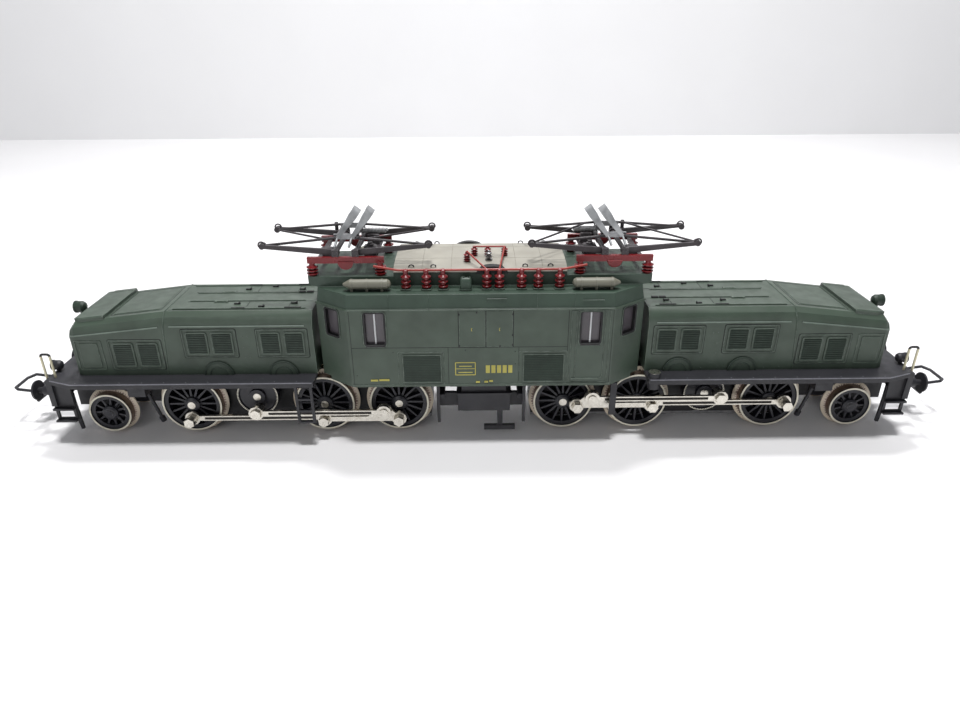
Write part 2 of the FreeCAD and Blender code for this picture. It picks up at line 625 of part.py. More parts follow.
shank = fuse(
    "coupler_solid",
    box("coupler_shank", (at.coupler_pivot, at.hoop_pivot - 1), (-1.3, 1.3),
        (coupler_low, coupler_low + 1.0)),
    rod("coupler_eye", "z", 1.9, coupler_low, coupler_low + 1.0, on_coupler),
    box("coupler_plate", (at.hoop_pivot - 1.6, at.hoop_pivot + 1.2), (-3.5, 3.5),
        (coupler_low - 0.6, coupler_low + 1.7)),
    padded("coupler_tongue", "XZ_Plane", [
        (at.hoop_pivot - 1.2, coupler_low - 0.5), (at.hoop_pivot + 3.8, 4.9), (at.hoop_pivot + 4.4, 5.2),
        (at.hoop_pivot + 3.2, coupler_low - 1.0), (at.hoop_pivot + 1.2, coupler_low + 0.6)], -1.0, 1.0))
hoop_height = coupler_low + 0.8
on_hoop = (at.hoop_pivot, hoop_height)
keep("coupler", cut(
    "coupler", shank,
    rod("coupler_bore", "z", COUPLER_PIN + at.bore_play, coupler_low - 1, coupler_low + 2, on_coupler),
    rod("hoop_bore", "y", 0.5, -4, 4, on_hoop)))


def hoop_side(side):
    """The points of the hoop's wire on one side, from its pivot to its front corner."""
    y, front = side * at.hoop_half, at.hoop_reach
    return [(at.hoop_pivot, y - side * 0.6, hoop_height), (at.hoop_pivot, y, hoop_height),
            (at.hoop_pivot + 3, y, hoop_height + 0.4), (front - 2, y, hoop_height + 0.8),
            (front - 0.4, y - side * 1.6, hoop_height + 0.5)]


hoop_wire = bent_wire("hoop_wire", hoop_side(-1) + hoop_side(1)[::-1], 0.4, 0.28)
hoop_bar_end = at.hoop_half - 0.5
keep("coupler_hoop", fuse("coupler_hoop", hoop_wire,
                          rod("hoop_bar", "y", 0.42, -hoop_bar_end, hoop_bar_end, on_hoop)))

# ---------------------------------------------------------------- hood
def hood_section(body, name, x, width, flat, eave, top, low):
    """One cross-section of the hood: upright sides, a sloping shoulder in two steps, and a flat top."""
    knee_y, knee_z = flat + (width - flat) * 0.62, eave + (top - eave) * 0.68
    half_section = [(width, low), (width, eave), (knee_y, knee_z), (flat, top)]
    return outline(body, name, "YZ_Plane", half_section + [(-y, z) for y, z in reversed(half_section)], x)


def hood_stations(shrink):
    """Width, flat, eave and top at the stations along the hood. Each is shrunk by the wall for the inside."""
    w = at.hood_wall * shrink
    side, flat, nose = at.hood_half - w, at.hood_flat - w, at.hood_nose - w
    return [
        (at.hood_inner + w, side, flat, at.hood_eave, at.hood_top - w),
        (at.hood_bend, side, flat, at.hood_eave, at.hood_top - w),
        (nose - at.nose_round, side, flat, at.nose_eave, at.nose_top - w),
        (nose, side - 0.7, flat - 0.7, at.nose_eave - 0.3, at.nose_top - at.nose_round - w),
    ]


def hood_loft(body, name, kind, shrink, low):
    sections = [hood_section(body, f"{name}_{i}", *station, low)
                for i, station in enumerate(hood_stations(shrink))]
    return lofted(body, name + "_loft", kind, sections)


ROUND_COVERS, COVER_RADIUS = (50.0, 66.4), 3.4
hood = doc.addObject("PartDesign::Body", "hood_shell")
hood_loft(hood, "hood_outside", "PartDesign::AdditiveLoft", 0, at.deck_top)
doc.recompute()
hood_loft(hood, "hood_inside", "PartDesign::SubtractiveLoft", 1, at.deck_top - 0.5)
nose_run = at.hood_nose - at.nose_round - at.hood_bend
plate_slope = math.degrees(math.atan2(float(at.hood_top - at.nose_top), float(nose_run)))
nose_plate = copy("nose_plate", box("nose_plate_blank", (0, 7.6), (-9.4, 9.4), (0, 1.0)), 93.2, 0, 33.15,
                  (0, 1, 0), plate_slope)
covers = [rod(f"round_cover_{x}_{side}", "y", COVER_RADIUS,
              *sorted((side * (at.hood_half - 0.3), side * (at.hood_half + 0.35))), (x, at.deck_top))
          for x in ROUND_COVERS for side in (-1, 1)]
below = box("below_deck", (40, 75), (-20, 20), (10, at.deck_top))
keep("hood", fuse("hood", hood, nose_plate, cut("round_covers", group("cover_discs", *covers), below)))


def lamp(name, x, y, z, radius, length):
    """A lamp with a rim, looking along +X: casing, bezel and bowed glass."""
    profile = [(0, 0), (length * 0.15, radius * 0.7), (length * 0.35, radius * 0.93),
               (length - 0.4, radius * 0.93), (length - 0.4, radius), (length, radius),
               (length, radius * 0.8), (length - 0.3, radius * 0.75), (length - 0.15, 0)]
    return copy(name, turned(name + "_turned", profile, "H_Axis"), x, y, z)


LAMP_OUT = 8.8
foot = box("lamp_foot", (at.hood_nose, at.hood_nose + 1.9), (-0.6, 0.6), (30.2, 31.6))
low_feet = [rod(f"lamp_post_{side}", "z", 0.5, at.deck_top, at.deck_top + 0.6, (108.8, side * LAMP_OUT))
            for side in (-1, 1)]
keep("headlamps", group(
    "headlamps", fuse("top_lamp_set", lamp("top_lamp", at.hood_nose + 0.1, 0, 32.7, 1.6, 2.9), foot),
    *(fuse(f"low_lamp_set_{side}", lamp(f"low_lamp_{side}", 107.2, side * LAMP_OUT, 20.2, 1.35, 2.8), post)
      for side, post in zip((-1, 1), low_feet))))


def grab_rail(side):
    """The grab rail of one side: an arch from the deck over to the front of the beam."""
    y, inner, front, top = side * 12.65, at.beam_outer - 1.9, at.beam_outer + 0.32, 25.0
    return bent_wire(f"grab_rail_{side}", [(inner, y, at.deck_top), (inner, y, top), (front, y, top),
                                          (front, y, at.beam_low + 1.8)], 0.3, 0.6)


keep("handrails", group("handrails", grab_rail(-1), grab_rail(1)))

# ---------------------------------------------------------------- body
def body_plan(grow):
    """The plan of the body, with cut-off corners, its walls moved outwards by grow."""
    side, end = at.body_side + grow * 0.45, at.end_half + grow * 0.45
    wide, far = at.body_half + grow, at.body_end + grow
    return [(-far, -end), (-side, -wide), (side, -wide), (far, -end), (far, end), (side, wide), (-side, wide),
            (-far, end)]


def body_layer(body, name, kind, grow, low, high):
    feature = body.newObject(kind, name)
    feature.Profile = outline(body, name + "_plan", "XY_Plane", body_plan(grow), low)
    if kind.endswith("Pocket"):
        feature.Reversed = True
    bind(feature, Length=high - low)
    return feature


shell = doc.addObject("PartDesign::Body", "shell")
body_layer(shell, "walls", "PartDesign::Pad", 0, at.body_low, at.body_eave)
body_layer(shell, "gutter", "PartDesign::Pad", 0.3, at.body_eave - 0.35, at.body_eave)
lofted(shell, "roof_band", "PartDesign::AdditiveLoft", [
    outline(shell, "band_foot", "XY_Plane", body_plan(-0.2), at.body_eave - 0.1),
    outline(shell, "band_top", "XY_Plane", body_plan(-at.roof_lean), at.roof_edge)])
doc.recompute()
body_layer(shell, "hollow", "PartDesign::Pocket", -at.body_wall, at.body_low - 1, at.body_eave + 1.6)
lantern = box("lantern", (-at.lantern_end, at.lantern_end), (-at.lantern_half, at.lantern_half),
              (at.roof_edge - 0.1, at.lantern_top))
cab_deck_side = [(at.cab_deck_end, at.cab_deck_nose), (at.cab_deck_shoulder, at.lantern_half)]
cab_deck_half = cab_deck_side + [(-x, y) for x, y in reversed(cab_deck_side)]
cab_deck = padded("cab_deck", "XY_Plane", cab_deck_half + [(x, -y) for x, y in reversed(cab_deck_half)],
                  at.roof_edge, at.cab_deck_top)
chamfer = math.atan2(float(at.body_half - at.end_half), float(at.body_end - at.body_side))
chamfer_middle = ((at.body_side + at.body_end) / 2, (at.body_half + at.end_half) / 2)
WINDOWS = {"cab": (-27.95, -22.95), "door": (23.9, 28.9)}
CHAMFER_WINDOW, CHAMFER_SILL = 2.3, 1.4
CORNERS = ((1, 1), (1, -1), (-1, 1), (-1, -1))
OPENING = {"spare": 0, "thick": 3, "inset": -1}
PANE = {"spare": 0.5, "thick": 0.4, "inset": at.body_wall + 0.05}


def window_blocks(name, spare, thick, inset):
    """Blocks at all window places, thick across the wall, larger than the opening by spare on every side.
    Their outer faces are inset from the wall's face."""
    blocks = []
    heights = (at.window_low - spare, at.window_high + spare)
    across = (-at.body_half + inset, -at.body_half + inset + thick)
    for spot, (x0, x1) in WINDOWS.items():
        near = box(f"{name}_{spot}", (x0 - spare, x1 + spare), across, heights)
        blocks += [near, half_turn(f"{name}_{spot}_far", near)]
    for i, (sx, sy) in enumerate(CORNERS):
        block = box(f"{name}_blank_{i}", (-CHAMFER_WINDOW - spare, CHAMFER_WINDOW + spare),
                    (inset, inset + thick), (heights[0] + CHAMFER_SILL, heights[1]))
        out = math.degrees(math.atan2(sy * math.cos(chamfer), sx * math.sin(chamfer)))
        blocks.append(copy(f"{name}_chamfer_{i}", block, sx * chamfer_middle[0], sy * chamfer_middle[1], 0,
                           (0, 0, 1), out + 90))
    return blocks


notches = [box(f"wheel_notch_{x}", (x, x + 9), (-12.5, 12.5), (at.body_low - 1, at.floor_low + 0.2))
           for x in (-42.0, 33.0)]
keep("centre_shell", cut("centre_shell", fuse("shell_solid", shell, lantern, cab_deck),
                         *window_blocks("window", **OPENING), *notches), twin=False)
keep("glazing", group("glazing", *window_blocks("pane", **PANE)), twin=False)

POST, COLUMN = 11.0, 10.4
CORNER = (32.6, 34.2)
floor = padded("floor", "XY_Plane", body_plan(-at.body_wall - 0.1), at.floor_low, at.floor_top)
posts = [box(f"post_{x}_{side}", (x - 0.4, x + 0.4), sorted((side * 12.4, side * 13.6)), (4.8, at.floor_low))
         for x in (-POST, POST) for side in (-1, 1)]
cross_beams = [box(f"under_beam_{side}", (-11.2, 11.2), sorted((side * 9.4, side * 10.6)), (8.2, 12.0))
               for side in (-1, 1)]
hangers = [box(f"hanger_{x}", (x - 1, x + 1), (-12.6, 12.6), (11.4, 12.6)) for x in (-COLUMN, COLUMN)]
columns = [box(f"column_{x}", (x - 1, x + 1), (-4, 4), (12.5, at.floor_low + 0.1)) for x in (-COLUMN, COLUMN)]
corner = fuse(
    "corner_bracket",
    box("corner_post", CORNER, (-15.9, -15.2), (8.0, at.body_low - 0.1)),
    box("corner_arm", CORNER, (-15.9, -13.0), (at.body_low - 1, at.body_low - 0.1)),
    box("corner_drop", CORNER, (-13.8, -13.0), (at.body_low - 0.2, at.floor_low + 0.5)))
pivot_holes = [rod(f"pivot_hole_{side}", "z", at.pivot_radius + at.bore_play, 17, 21,
                   (side * at.bogie_pivot, 0)) for side in (-1, 1)]
frame_solid = fuse("frame_solid", floor, *posts, *cross_beams, *hangers, *columns, corner,
                   half_turn("corner_far", corner))
keep("centre_frame", cut("centre_frame", frame_solid, *pivot_holes), twin=False)
cabinet = fuse("cabinet", box("cabinet_case", (-6.0, 7.4), (-14.2, -10.6), (8.6, 13.8)),
               box("cabinet_lid", (-6.3, 7.7), (-14.5, -10.6), (13.4, 13.9)),
               box("cabinet_hanger", (-5.0, 6.4), (-13.6, -12.6), (13.7, at.floor_low)))
keep("equipment_boxes", group("equipment_boxes", cabinet, half_turn("cabinet_far", cabinet)), twin=False)
magnet = fuse("magnet", box("magnet_foot", (0.7, 8.9), (-12.6, -11.4), (1.9, 3.1)),
              box("magnet_stem", (4.2, 5.6), (-12.3, -11.7), (2.9, 8.6)))
keep("signal_magnets", group("signal_magnets", magnet, half_turn("magnet_far", magnet)), twin=False)

# ---------------------------------------------------------------- roof
cover_points = [(-at.cover_half, at.lantern_top), (at.cover_half, at.lantern_top)]
ARCH_STEPS = 8
ARCH_LOW = at.lantern_top + 0.45
cover = doc.addObject("PartDesign::Body", "roof_cover")
arch = []
for i in range(ARCH_STEPS + 1):
    angle = math.pi * i / ARCH_STEPS
    arch.append((at.cover_half * round(math.cos(angle), 5),
                 ARCH_LOW + (at.cover_crown - ARCH_LOW) * round(math.sin(angle), 5)))
pad(cover, "cover_pad", outline(cover, "cover_arch", "YZ_Plane", cover_points + arch, -at.lantern_end),
    at.lantern_end * 2)
keep("roof_cover", cover, twin=False)


def insulator(name, x, y, low, height, radius=1.0):
    """A ribbed insulator: a cap on three sheds."""
    profile = [(0, 0), (radius * 0.8, 0)]
    for i in range(3):
        foot = height * (0.08 + 0.26 * i)
        profile += [(radius * 0.55, foot), (radius, foot + height * 0.06), (radius, foot + height * 0.12),
                    (radius * 0.55, foot + height * 0.2)]
    profile += [(radius * 0.5, height * 0.86), (radius * 0.5, height), (0, height)]
    body = doc.addObject("PartDesign::Body", name)
    feature = body.newObject("PartDesign::Revolution", name + "_turned")
    feature.Profile = outline(body, name + "_profile", "XZ_Plane", profile)
    feature.ReferenceAxis = (feature.Profile[0], ["V_Axis"])
    feature.Angle = 360
    return copy(name + "_set", body, x, y, low)


def arch_height(y):
    """The cover's height at a distance y from its middle."""
    return float(ARCH_LOW) + float(at.cover_crown - ARCH_LOW) * math.sqrt(1 - (y / float(at.cover_half)) ** 2)


ROW = (-17.8, -12.9, -8.9, 1.5, 4.5, 9.8, 13.8, 18.9)
ROW_Y, ROW_TOP, ROW_RADIUS = -12.6, 46.0, 1.15
BUS_RADIUS, LEAD_RADIUS, BUS_HEIGHT = 0.28, 0.22, 46.22
TOP_ROW = ((-3.2, -6.7), (-1.4, -2.8), (1.9, -2.9), (6.05, -3.0))
row = [insulator(f"row_insulator_{i}", x, ROW_Y, at.roof_edge, ROW_TOP - float(at.roof_edge), ROW_RADIUS)
       for i, x in enumerate(ROW)]
crown = [insulator(f"crown_insulator_{i}", x, y, arch_height(abs(y) - 0.7), 2.3, 0.85)
         for i, (x, y) in enumerate(TOP_ROW)]
keep("roof_insulators", group("roof_insulators", *row, *crown), twin=False)
bus = bent_wire("bus", [(-25.4, -11.4, 46.9), (-19.6, ROW_Y, BUS_HEIGHT), (19.6, ROW_Y, BUS_HEIGHT),
                        (25.4, -11.4, 46.9)], BUS_RADIUS, 3.0)
leads = [tube("lead_a", (1.5, ROW_Y, BUS_HEIGHT), (-3.2, -6.7, 48.9), LEAD_RADIUS),
         tube("lead_b", (4.5, ROW_Y, BUS_HEIGHT), (6.05, -3.0, 48.9), LEAD_RADIUS)]
link = tube("crown_link", (-1.4, -2.8, 48.9), (6.05, -3.0, 48.9), LEAD_RADIUS)
keep("roof_busbar", fuse("roof_busbar", bus, *leads, link), twin=False)

TANK_RADIUS, TANK_END, TANK_AXIS = 1.2, 5.8, (-13.4, 43.1)
tank_profile = [(-TANK_END, 0), (-TANK_END + 0.2, 0.35), (-TANK_END + 1.8, TANK_RADIUS),
                (TANK_END - 0.9, TANK_RADIUS), (TANK_END - 0.3, 0.8), (TANK_END, 0)]
tank_body = turned("tank_body", tank_profile, "H_Axis")
tanks = []
for x, tank_shape in ((-27.0, tank_body), (27.6, mirror("tank_mirror", tank_body, (1, 0, 0)))):
    tank = copy(f"tank_{x}", tank_shape, x, *TANK_AXIS)
    straps = [box(f"strap_{x}_{i}", (x + i * 3.6 - 0.3, x + i * 3.6 + 0.3),
                  (TANK_AXIS[0] - 0.8, TANK_AXIS[0] + 0.8), (at.roof_edge, TANK_AXIS[1])) for i in (-1, 0, 1)]
    tanks.append(fuse(f"tank_set_{x}", tank, *straps))
near_tanks = group("near_tanks", *tanks)
keep("air_tanks", group("air_tanks", near_tanks, half_turn("far_tanks", near_tanks)), twin=False)

# ---------------------------------------------------------------- pantographs
ARM_SHAFT, KNEE_PIN, HEAD_BAR = 0.6, 0.4, 0.36
lean = math.radians(float(at.arm_lean))
knee_out = at.panto_pivot + at.arm_length * round(math.cos(lean), 6)
knee_height = at.panto_height + at.arm_length * round(math.sin(lean), 6)
head_height = at.panto_height + at.arm_length * round(2 * math.sin(lean), 6)


def panto_spot(way, out, height):
    """A point seen from the side, out from the pantograph's middle: outwards for way 1, inwards for -1."""
    return at.panto_place + out * way, height


def panto_base(name):
    feet = [insulator(f"{name}_foot_{i}_{j}", at.panto_place + i * at.foot_offset, j * at.beam_offset,
                      at.cab_deck_top, float(at.insulator_height), float(at.foot_radius))
            for i in (-1, 1) for j in (-1, 1)]
    low = at.cab_deck_top + at.insulator_height
    pieces = []
    for j in (-1, 1):
        y = at.beam_offset * j
        along = (at.panto_place - at.beam_reach, at.panto_place + at.beam_reach)
        pieces.append(box(f"{name}_beam_{j}", along, (y - 0.5, y + 0.5), (low, low + at.beam_thick)))
        for i in (-1, 1):
            x = panto_spot(i, at.panto_pivot, 0)[0]
            pieces.append(box(f"{name}_ear_{i}_{j}", (x - 0.8, x + 0.8), (y - 0.4, y + 0.4),
                              (low, at.panto_height + 0.9)))
    for i in (-1, 1):
        x = at.panto_place + i * 6.6
        pieces.append(box(f"{name}_cross_{i}", (x - 0.5, x + 0.5), (-at.beam_offset, at.beam_offset),
                          (low + 0.3, low + 0.9)))
    bores = [rod(f"{name}_bore_{i}", "y", ARM_SHAFT + at.bore_play, -10, 10,
                 panto_spot(i, at.panto_pivot, at.panto_height)) for i in (-1, 1)]
    return group(name, *feet, cut(name + "_frame", fuse(name + "_solid", *pieces), *bores))


def arm(name, start, end, thin, thick, y, width):
    """A tapered arm in the plane of the side, thick at its start and thin at its end, with an eye at each."""
    body = doc.addObject("PartDesign::Body", name)
    points = [(start[0], start[1] - thick / 2), (end[0], end[1] - thin / 2), (end[0], end[1] + thin / 2),
              (start[0], start[1] + thick / 2)]
    faces = (y - width / 2, y + width / 2)
    pad(body, name + "_pad", outline(body, name + "_side", "XZ_Plane", points, -faces[1]), width)
    return fuse(name + "_arm", body, rod(name + "_eye", "y", thick * 0.62, *faces, start),
                rod(name + "_tip", "y", thin * 0.75, *faces, end))


def lower_arm(name, way):
    """Both arms of one side on their shaft, with a stud at each knee."""
    hinge, joint = panto_spot(way, at.panto_pivot, at.panto_height), panto_spot(way, knee_out, knee_height)
    out, ear = float(at.arm_offset), float(at.beam_offset) + 0.4
    pieces = [rod(name + "_shaft", "y", ARM_SHAFT, -ear, ear, hinge)]
    for j in (-1, 1):
        pieces.append(arm(f"{name}_{j}", hinge, joint, 0.9, 1.5, out * j, 0.7))
        pieces.append(rod(f"{name}_stud_{j}", "y", KNEE_PIN, *sorted((j * out, j * (out - 1.2))), joint))
    return fuse(name, *pieces)


def upper_arm(name, way, narrow):
    """Two wires from the knees to the head, each narrow further in than the head's offset, with a brace."""
    joint, head = panto_spot(way, knee_out, knee_height), panto_spot(way, at.panto_pivot, head_height)
    low_y, high_y = float(at.arm_offset) - 0.85, float(at.head_offset) - narrow
    pieces, bores = [], []
    for j in (-1, 1):
        knee_end, head_end = (joint[0], j * low_y, joint[1]), (head[0], j * high_y, head[1])
        pieces.append(tube(f"{name}_bar_{j}", knee_end, head_end, 0.32))
        pieces.append(rod(f"{name}_eye_{j}", "y", 0.75, *sorted((j * (low_y - 0.65), j * (low_y + 0.35))),
                          joint))
        bores.append(rod(f"{name}_hole_{j}", "y", KNEE_PIN + at.bore_play,
                         *sorted((j * (low_y - 0.4), j * (low_y + 0.5))), joint))
    along_bar = [float(a) * 0.15 + float(b) * 0.85 for a, b in zip(knee_end, head_end)]
    pieces.append(tube(name + "_brace", (joint[0], -low_y + 0.4, joint[1]), along_bar, 0.25))
    head_bar = rod(name + "_head", "y", HEAD_BAR, -high_y - 0.3, high_y + 0.3, head)
    return fuse(name, cut(name + "_bars", fuse(name + "_solid", *pieces), *bores), head_bar)


STRIP_WIDTH, STRIP_THICK, STRIP_GAP, HORN = 2.0, 0.35, 1.7, 0.3


def bowed_strip(name, side, bow):
    """A contact strip bowed upwards between its tapered ends, the ends on the level of the origin."""
    bowed = [(0, -side, 0), (0, -side * 0.75, bow * 0.5), (0, -side * 0.25, bow)]
    band = bent_band(name + "_band", bowed + [(0, -y, z) for _, y, z in reversed(bowed)], STRIP_WIDTH,
                     STRIP_THICK, 4.0)
    trims = [padded(f"{name}_trim_{j}_{k}", "XY_Plane", [
        (k * STRIP_WIDTH * 0.52, j * side * 0.4), (k * STRIP_WIDTH * 0.18, j * (side + 0.6)),
        (k * STRIP_WIDTH * 0.9, j * (side + 0.6)), (k * STRIP_WIDTH * 0.9, j * side * 0.4)], -3, bow + 3)
        for j in (-1, 1) for k in (-1, 1)]
    return cut(name, band, *trims)


def collector(name):
    """Two bowed contact strips that lean inwards, with horns, on posts from a bar at each side."""
    side, height, lean_angle = float(at.strip_half), float(head_height), math.radians(float(at.strip_lean))
    ends, bar = height + 0.35, float(at.head_offset) - 2.1
    share = 1 - (bar / side) ** 2
    inwards, rise = (float(at.strip_bow) * share * way(lean_angle) for way in (math.sin, math.cos))
    strip = bowed_strip(name + "_strip", side, float(at.strip_bow))
    strips, posts, horns, bores = [], [], [], []
    for i in (-1, 1):
        pivot, x = float(at.panto_place + at.panto_pivot * i), float(at.panto_place) + STRIP_GAP * i
        strips.append(copy(f"{name}_strip_{i}", strip, x, 0, ends, (0, 1, 0), -at.strip_lean))
        for j in (-1, 1):
            posts.append(tube(f"{name}_post_{i}_{j}", (pivot, j * bar, height),
                              (x - inwards, j * bar, ends + rise), 0.32))
            horns.append(tube(f"{name}_horn_{i}_{j}", (x, j * (side - 0.3), ends + 0.2),
                              (x + 0.6, j * (side + 1.5), ends - 1.75), HORN))
        loose = at.bore_play + 0.05 * (i < 0)
        bores.append(rod(f"{name}_bore_{i}", "y", HEAD_BAR + loose, -7.2, 7.2, (pivot, head_height)))
    bars = [box(f"{name}_carrier_{j}", panto_span, (j * bar - 0.3, j * bar + 0.3),
                (height - 0.65, height + 0.6)) for j in (-1, 1)]
    return cut(name, fuse(name + "_solid", *strips, *posts, *horns, *bars), *bores)


panto_span = (at.panto_place - at.panto_pivot - 0.7, at.panto_place + at.panto_pivot + 0.7)
keep("panto_base", panto_base("panto_base"))
keep("lower_arm_outer", lower_arm("lower_arm_outer", 1))
keep("lower_arm_inner", lower_arm("lower_arm_inner", -1))
keep("upper_arm_outer", upper_arm("upper_arm_outer", 1, 0.9))
keep("upper_arm_inner", upper_arm("upper_arm_inner", -1, 0.9))
keep("collector", collector("collector"))

# ---------------------------------------------------------------- drive, pickup and screws
MOTOR_SHAFT, BEARING_OUT = 0.75, 6.1
motor_x, motor_z = motor_spot
stator = cut("stator_ring", rod("stator", "y", at.stator_radius, -4.2, 1.6, motor_spot),
             rod("stator_bore", "y", at.armature_radius + 0.25, -5, 3, motor_spot))
bearings = []
for side in (-1, 1):
    bearing = box(f"bearing_plate_{side}", (motor_x - 4.6, motor_x + 4.6),
                  sorted((side * 4.7, side * BEARING_OUT)), (at.frame_top, motor_z + 4.6))
    bore = rod(f"bearing_bore_{side}", "y", MOTOR_SHAFT + at.bore_play, -7, 7, motor_spot)
    bearings.append(cut(f"bearing_{side}", bearing, bore))
studs = [rod(f"stud_{x}", "y", 0.5, -BEARING_OUT, BEARING_OUT, (motor_x + x, motor_z + 4.05))
         for x in (-2.85, 2.85)]
motor = fuse("motor_frame_rear", stator, *bearings, *studs)
parts["motor_frame"] = half_turn("motor_frame", motor)
pinion = gear("pinion", PINION, pitch(PINION), 0.9, 2.3, 180 + motor_line + 360 / PINION / 2)
armature = fuse("armature_rear", rod("core", "y", at.armature_radius, -3.7, 1.1, motor_spot),
                rod("motor_shaft", "y", MOTOR_SHAFT, -BEARING_OUT, BEARING_OUT, motor_spot),
                copy("pinion_set", pinion, motor_x, 0, motor_z))
parts["armature"] = half_turn("armature", armature)
idler_gears = fuse(
    "idler_pair", gear("idler_large", IDLER_LARGE, pitch(IDLER_LARGE), 0.8, 2.35, motor_line),
    gear("idler_small", IDLER_SMALL, pitch(IDLER_SMALL), 1.15, 3.1, 180 + idler_line + 360 / IDLER_SMALL / 2))
idler = fuse("idler_rear", rod("idler_shaft", "y", IDLER_SHAFT, -BEARING_OUT, BEARING_OUT, idler_spot),
             copy("idler_gears", idler_gears, idler_spot[0], 0, idler_spot[1]))
parts["idler_gear"] = half_turn("idler_gear", idler)
skid = padded("shoe_skid", "XZ_Plane", [
    (47.0, 1.5), (50.0, 0.8), (70.0, 0.8), (73.0, 1.5), (72.8, 1.75), (69.8, 1.1), (50.2, 1.1), (47.2, 1.75),
], -1.6, 1.6)
shoe_posts = [rod(f"shoe_post_{x}", "z", SHOE_POST, 1.0, 5.2, (x, 0)) for x in SHOE_POSTS]
collars = [rod(f"shoe_collar_{x}", "z", 0.85, at.frame_low + 0.02, 4.0, (x, 0)) for x in SHOE_POSTS]
parts["pickup_shoe"] = half_turn("pickup_shoe", fuse("shoe", skid, *shoe_posts, *collars))

# ---------------------------------------------------------------- checking and writing
for name, piece in parts.items():
    piece.Label = name
doc.recompute()
failed = [item.Name for item in doc.Objects if {"Invalid", "Error"} & set(item.State)]
failed += [name for name, piece in parts.items() if piece.Shape.isNull() or not piece.Shape.isValid()]
if failed:
    raise SystemExit(f"failed: {failed}")
os.makedirs("parts", exist_ok=True)
for name, piece in parts.items():
    piece.Shape.exportStep(f"parts/{name}.step")
    print(f"{name}: {len(piece.Shape.Solids)} solids, {piece.Shape.Volume:.2f} mm3")
print(len(parts), "sub-parts")
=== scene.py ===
import math

import bmesh
import bpy
from mathutils import Matrix, Vector


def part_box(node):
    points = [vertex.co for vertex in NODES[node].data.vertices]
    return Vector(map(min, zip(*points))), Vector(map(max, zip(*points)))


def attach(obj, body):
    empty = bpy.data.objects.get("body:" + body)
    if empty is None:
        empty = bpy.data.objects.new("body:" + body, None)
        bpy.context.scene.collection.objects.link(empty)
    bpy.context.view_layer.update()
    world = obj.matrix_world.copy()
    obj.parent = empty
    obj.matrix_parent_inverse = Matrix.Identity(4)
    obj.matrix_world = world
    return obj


# The looks of a model electric locomotive: two hooded bogies, a cab body between them and two
# pantographs. Lengths are in millimetres until a mesh is finished, and the surroundings are in metres.
# The rear bogie stands at +X. The front bogie is the rear one turned half a turn about Z, so its pieces
# are built once and copied, and so are most pieces of the body. The roof's row of insulators, the
# earthing post and the fittings and springs of the pantographs are placed one by one.

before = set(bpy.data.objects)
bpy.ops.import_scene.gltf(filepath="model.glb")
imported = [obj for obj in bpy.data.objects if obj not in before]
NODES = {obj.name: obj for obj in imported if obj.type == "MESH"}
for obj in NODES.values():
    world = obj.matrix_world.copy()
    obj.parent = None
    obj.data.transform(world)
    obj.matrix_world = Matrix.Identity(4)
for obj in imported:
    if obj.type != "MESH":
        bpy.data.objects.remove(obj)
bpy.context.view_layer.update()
MM = 0.001
HALF_TURN = Matrix.Rotation(math.pi, 4, "Z")
ENDS = (("rear", Matrix()), ("front", HALF_TURN))


def limits(node):
    """The lowest and highest corner of a CAD node, in millimetres."""
    return tuple(Vector(corner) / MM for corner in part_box(node))


# ---------------------------------------------------------------- places, read from the frame
hood_low, hood_high = limits("hood_rear")
COVER_PROUD = 0.35  # the round covers stand this far out of the hood's side
hood_side = hood_high.y - COVER_PROUD
hood_inner, hood_nose, deck_top, hood_top = hood_low.x, hood_high.x, hood_low.z, hood_high.z
hood_bend, hood_eave, nose_eave, nose_top = 78.0, 31.8, 29.5, 32.5
SHOULDER_WIDE, NOSE_UPRIGHT = 2.2, 1.5  # the sloping shoulder, and the part past the top's slope
hood_flat = hood_side - SHOULDER_WIDE
slope_run = hood_nose - NOSE_UPRIGHT - hood_bend
shell_low, shell_high = limits("centre_shell")
GUTTER_PROUD = 0.3
side_wall = shell_high.y - GUTTER_PROUD
EAVE_UP, BAND_UP = 20.7, 24.2  # the wall's top and the roof band's top, above the sill
sill, eave, roof_edge = shell_low.z, shell_low.z + EAVE_UP, shell_low.z + BAND_UP
cover_low, cover_high = limits("roof_cover")
ARCH_SPRING = 0.45  # the roof cover's arch starts this far above its foot
deck_low, deck_high = limits("footplate_rear")
deck_inner, deck_side = deck_low.x, deck_high.y
panto_low, panto_high = limits("panto_base_rear")
panto_x = (panto_low.x + panto_high.x) / 2
BEAM_OUT, BEAM_TOP, BEAM_HALF = 9.0, 48.55, 1.5  # the beams under a pantograph
ARM_OUT, ARM_LENGTH, ARM_LEAN = 8.0, 17.6, math.radians(5)  # its lower arms
PIVOT_HALF, SHAFT_Z = 2.4, 49.3  # the shafts they turn on
LAMP_OUT, LAMP_PARTING = 8.8, 25  # the low lamps' distance out, and a height between low and high ones
RAIL_TOP = 24.5  # rails above this height are dark
FLUTE_FLOORS = (11.2, 13.1)  # the bottoms of the flutes in the two layers of rods
WINDOW_LOW, WINDOW_HIGH = sill + 11.3, sill + 19.9
WINDOWS = ((-27.95, -22.95), (23.9, 28.9))
FOOT, THIN_FOOT = -0.1, -0.05  # fittings start this far below the wall they stand on
SEAM_WIDE, FINE_WIDE = 0.14, 0.12  # the widths of panel seams


# ---------------------------------------------------------------- mesh building
def offset(points, grow):
    """A closed flat outline, anticlockwise, moved outwards by grow."""
    moved = []
    for before, here, after in zip(points[-1:] + points[:-1], points, points[1:] + points[:1]):
        one, two = (here - before).normalized(), (after - here).normalized()
        out_one, out_two = Vector((one.y, -one.x)), Vector((two.y, -two.x))
        moved.append(here + (out_one + out_two) * grow / (1 + out_one.dot(out_two)))
    return moved


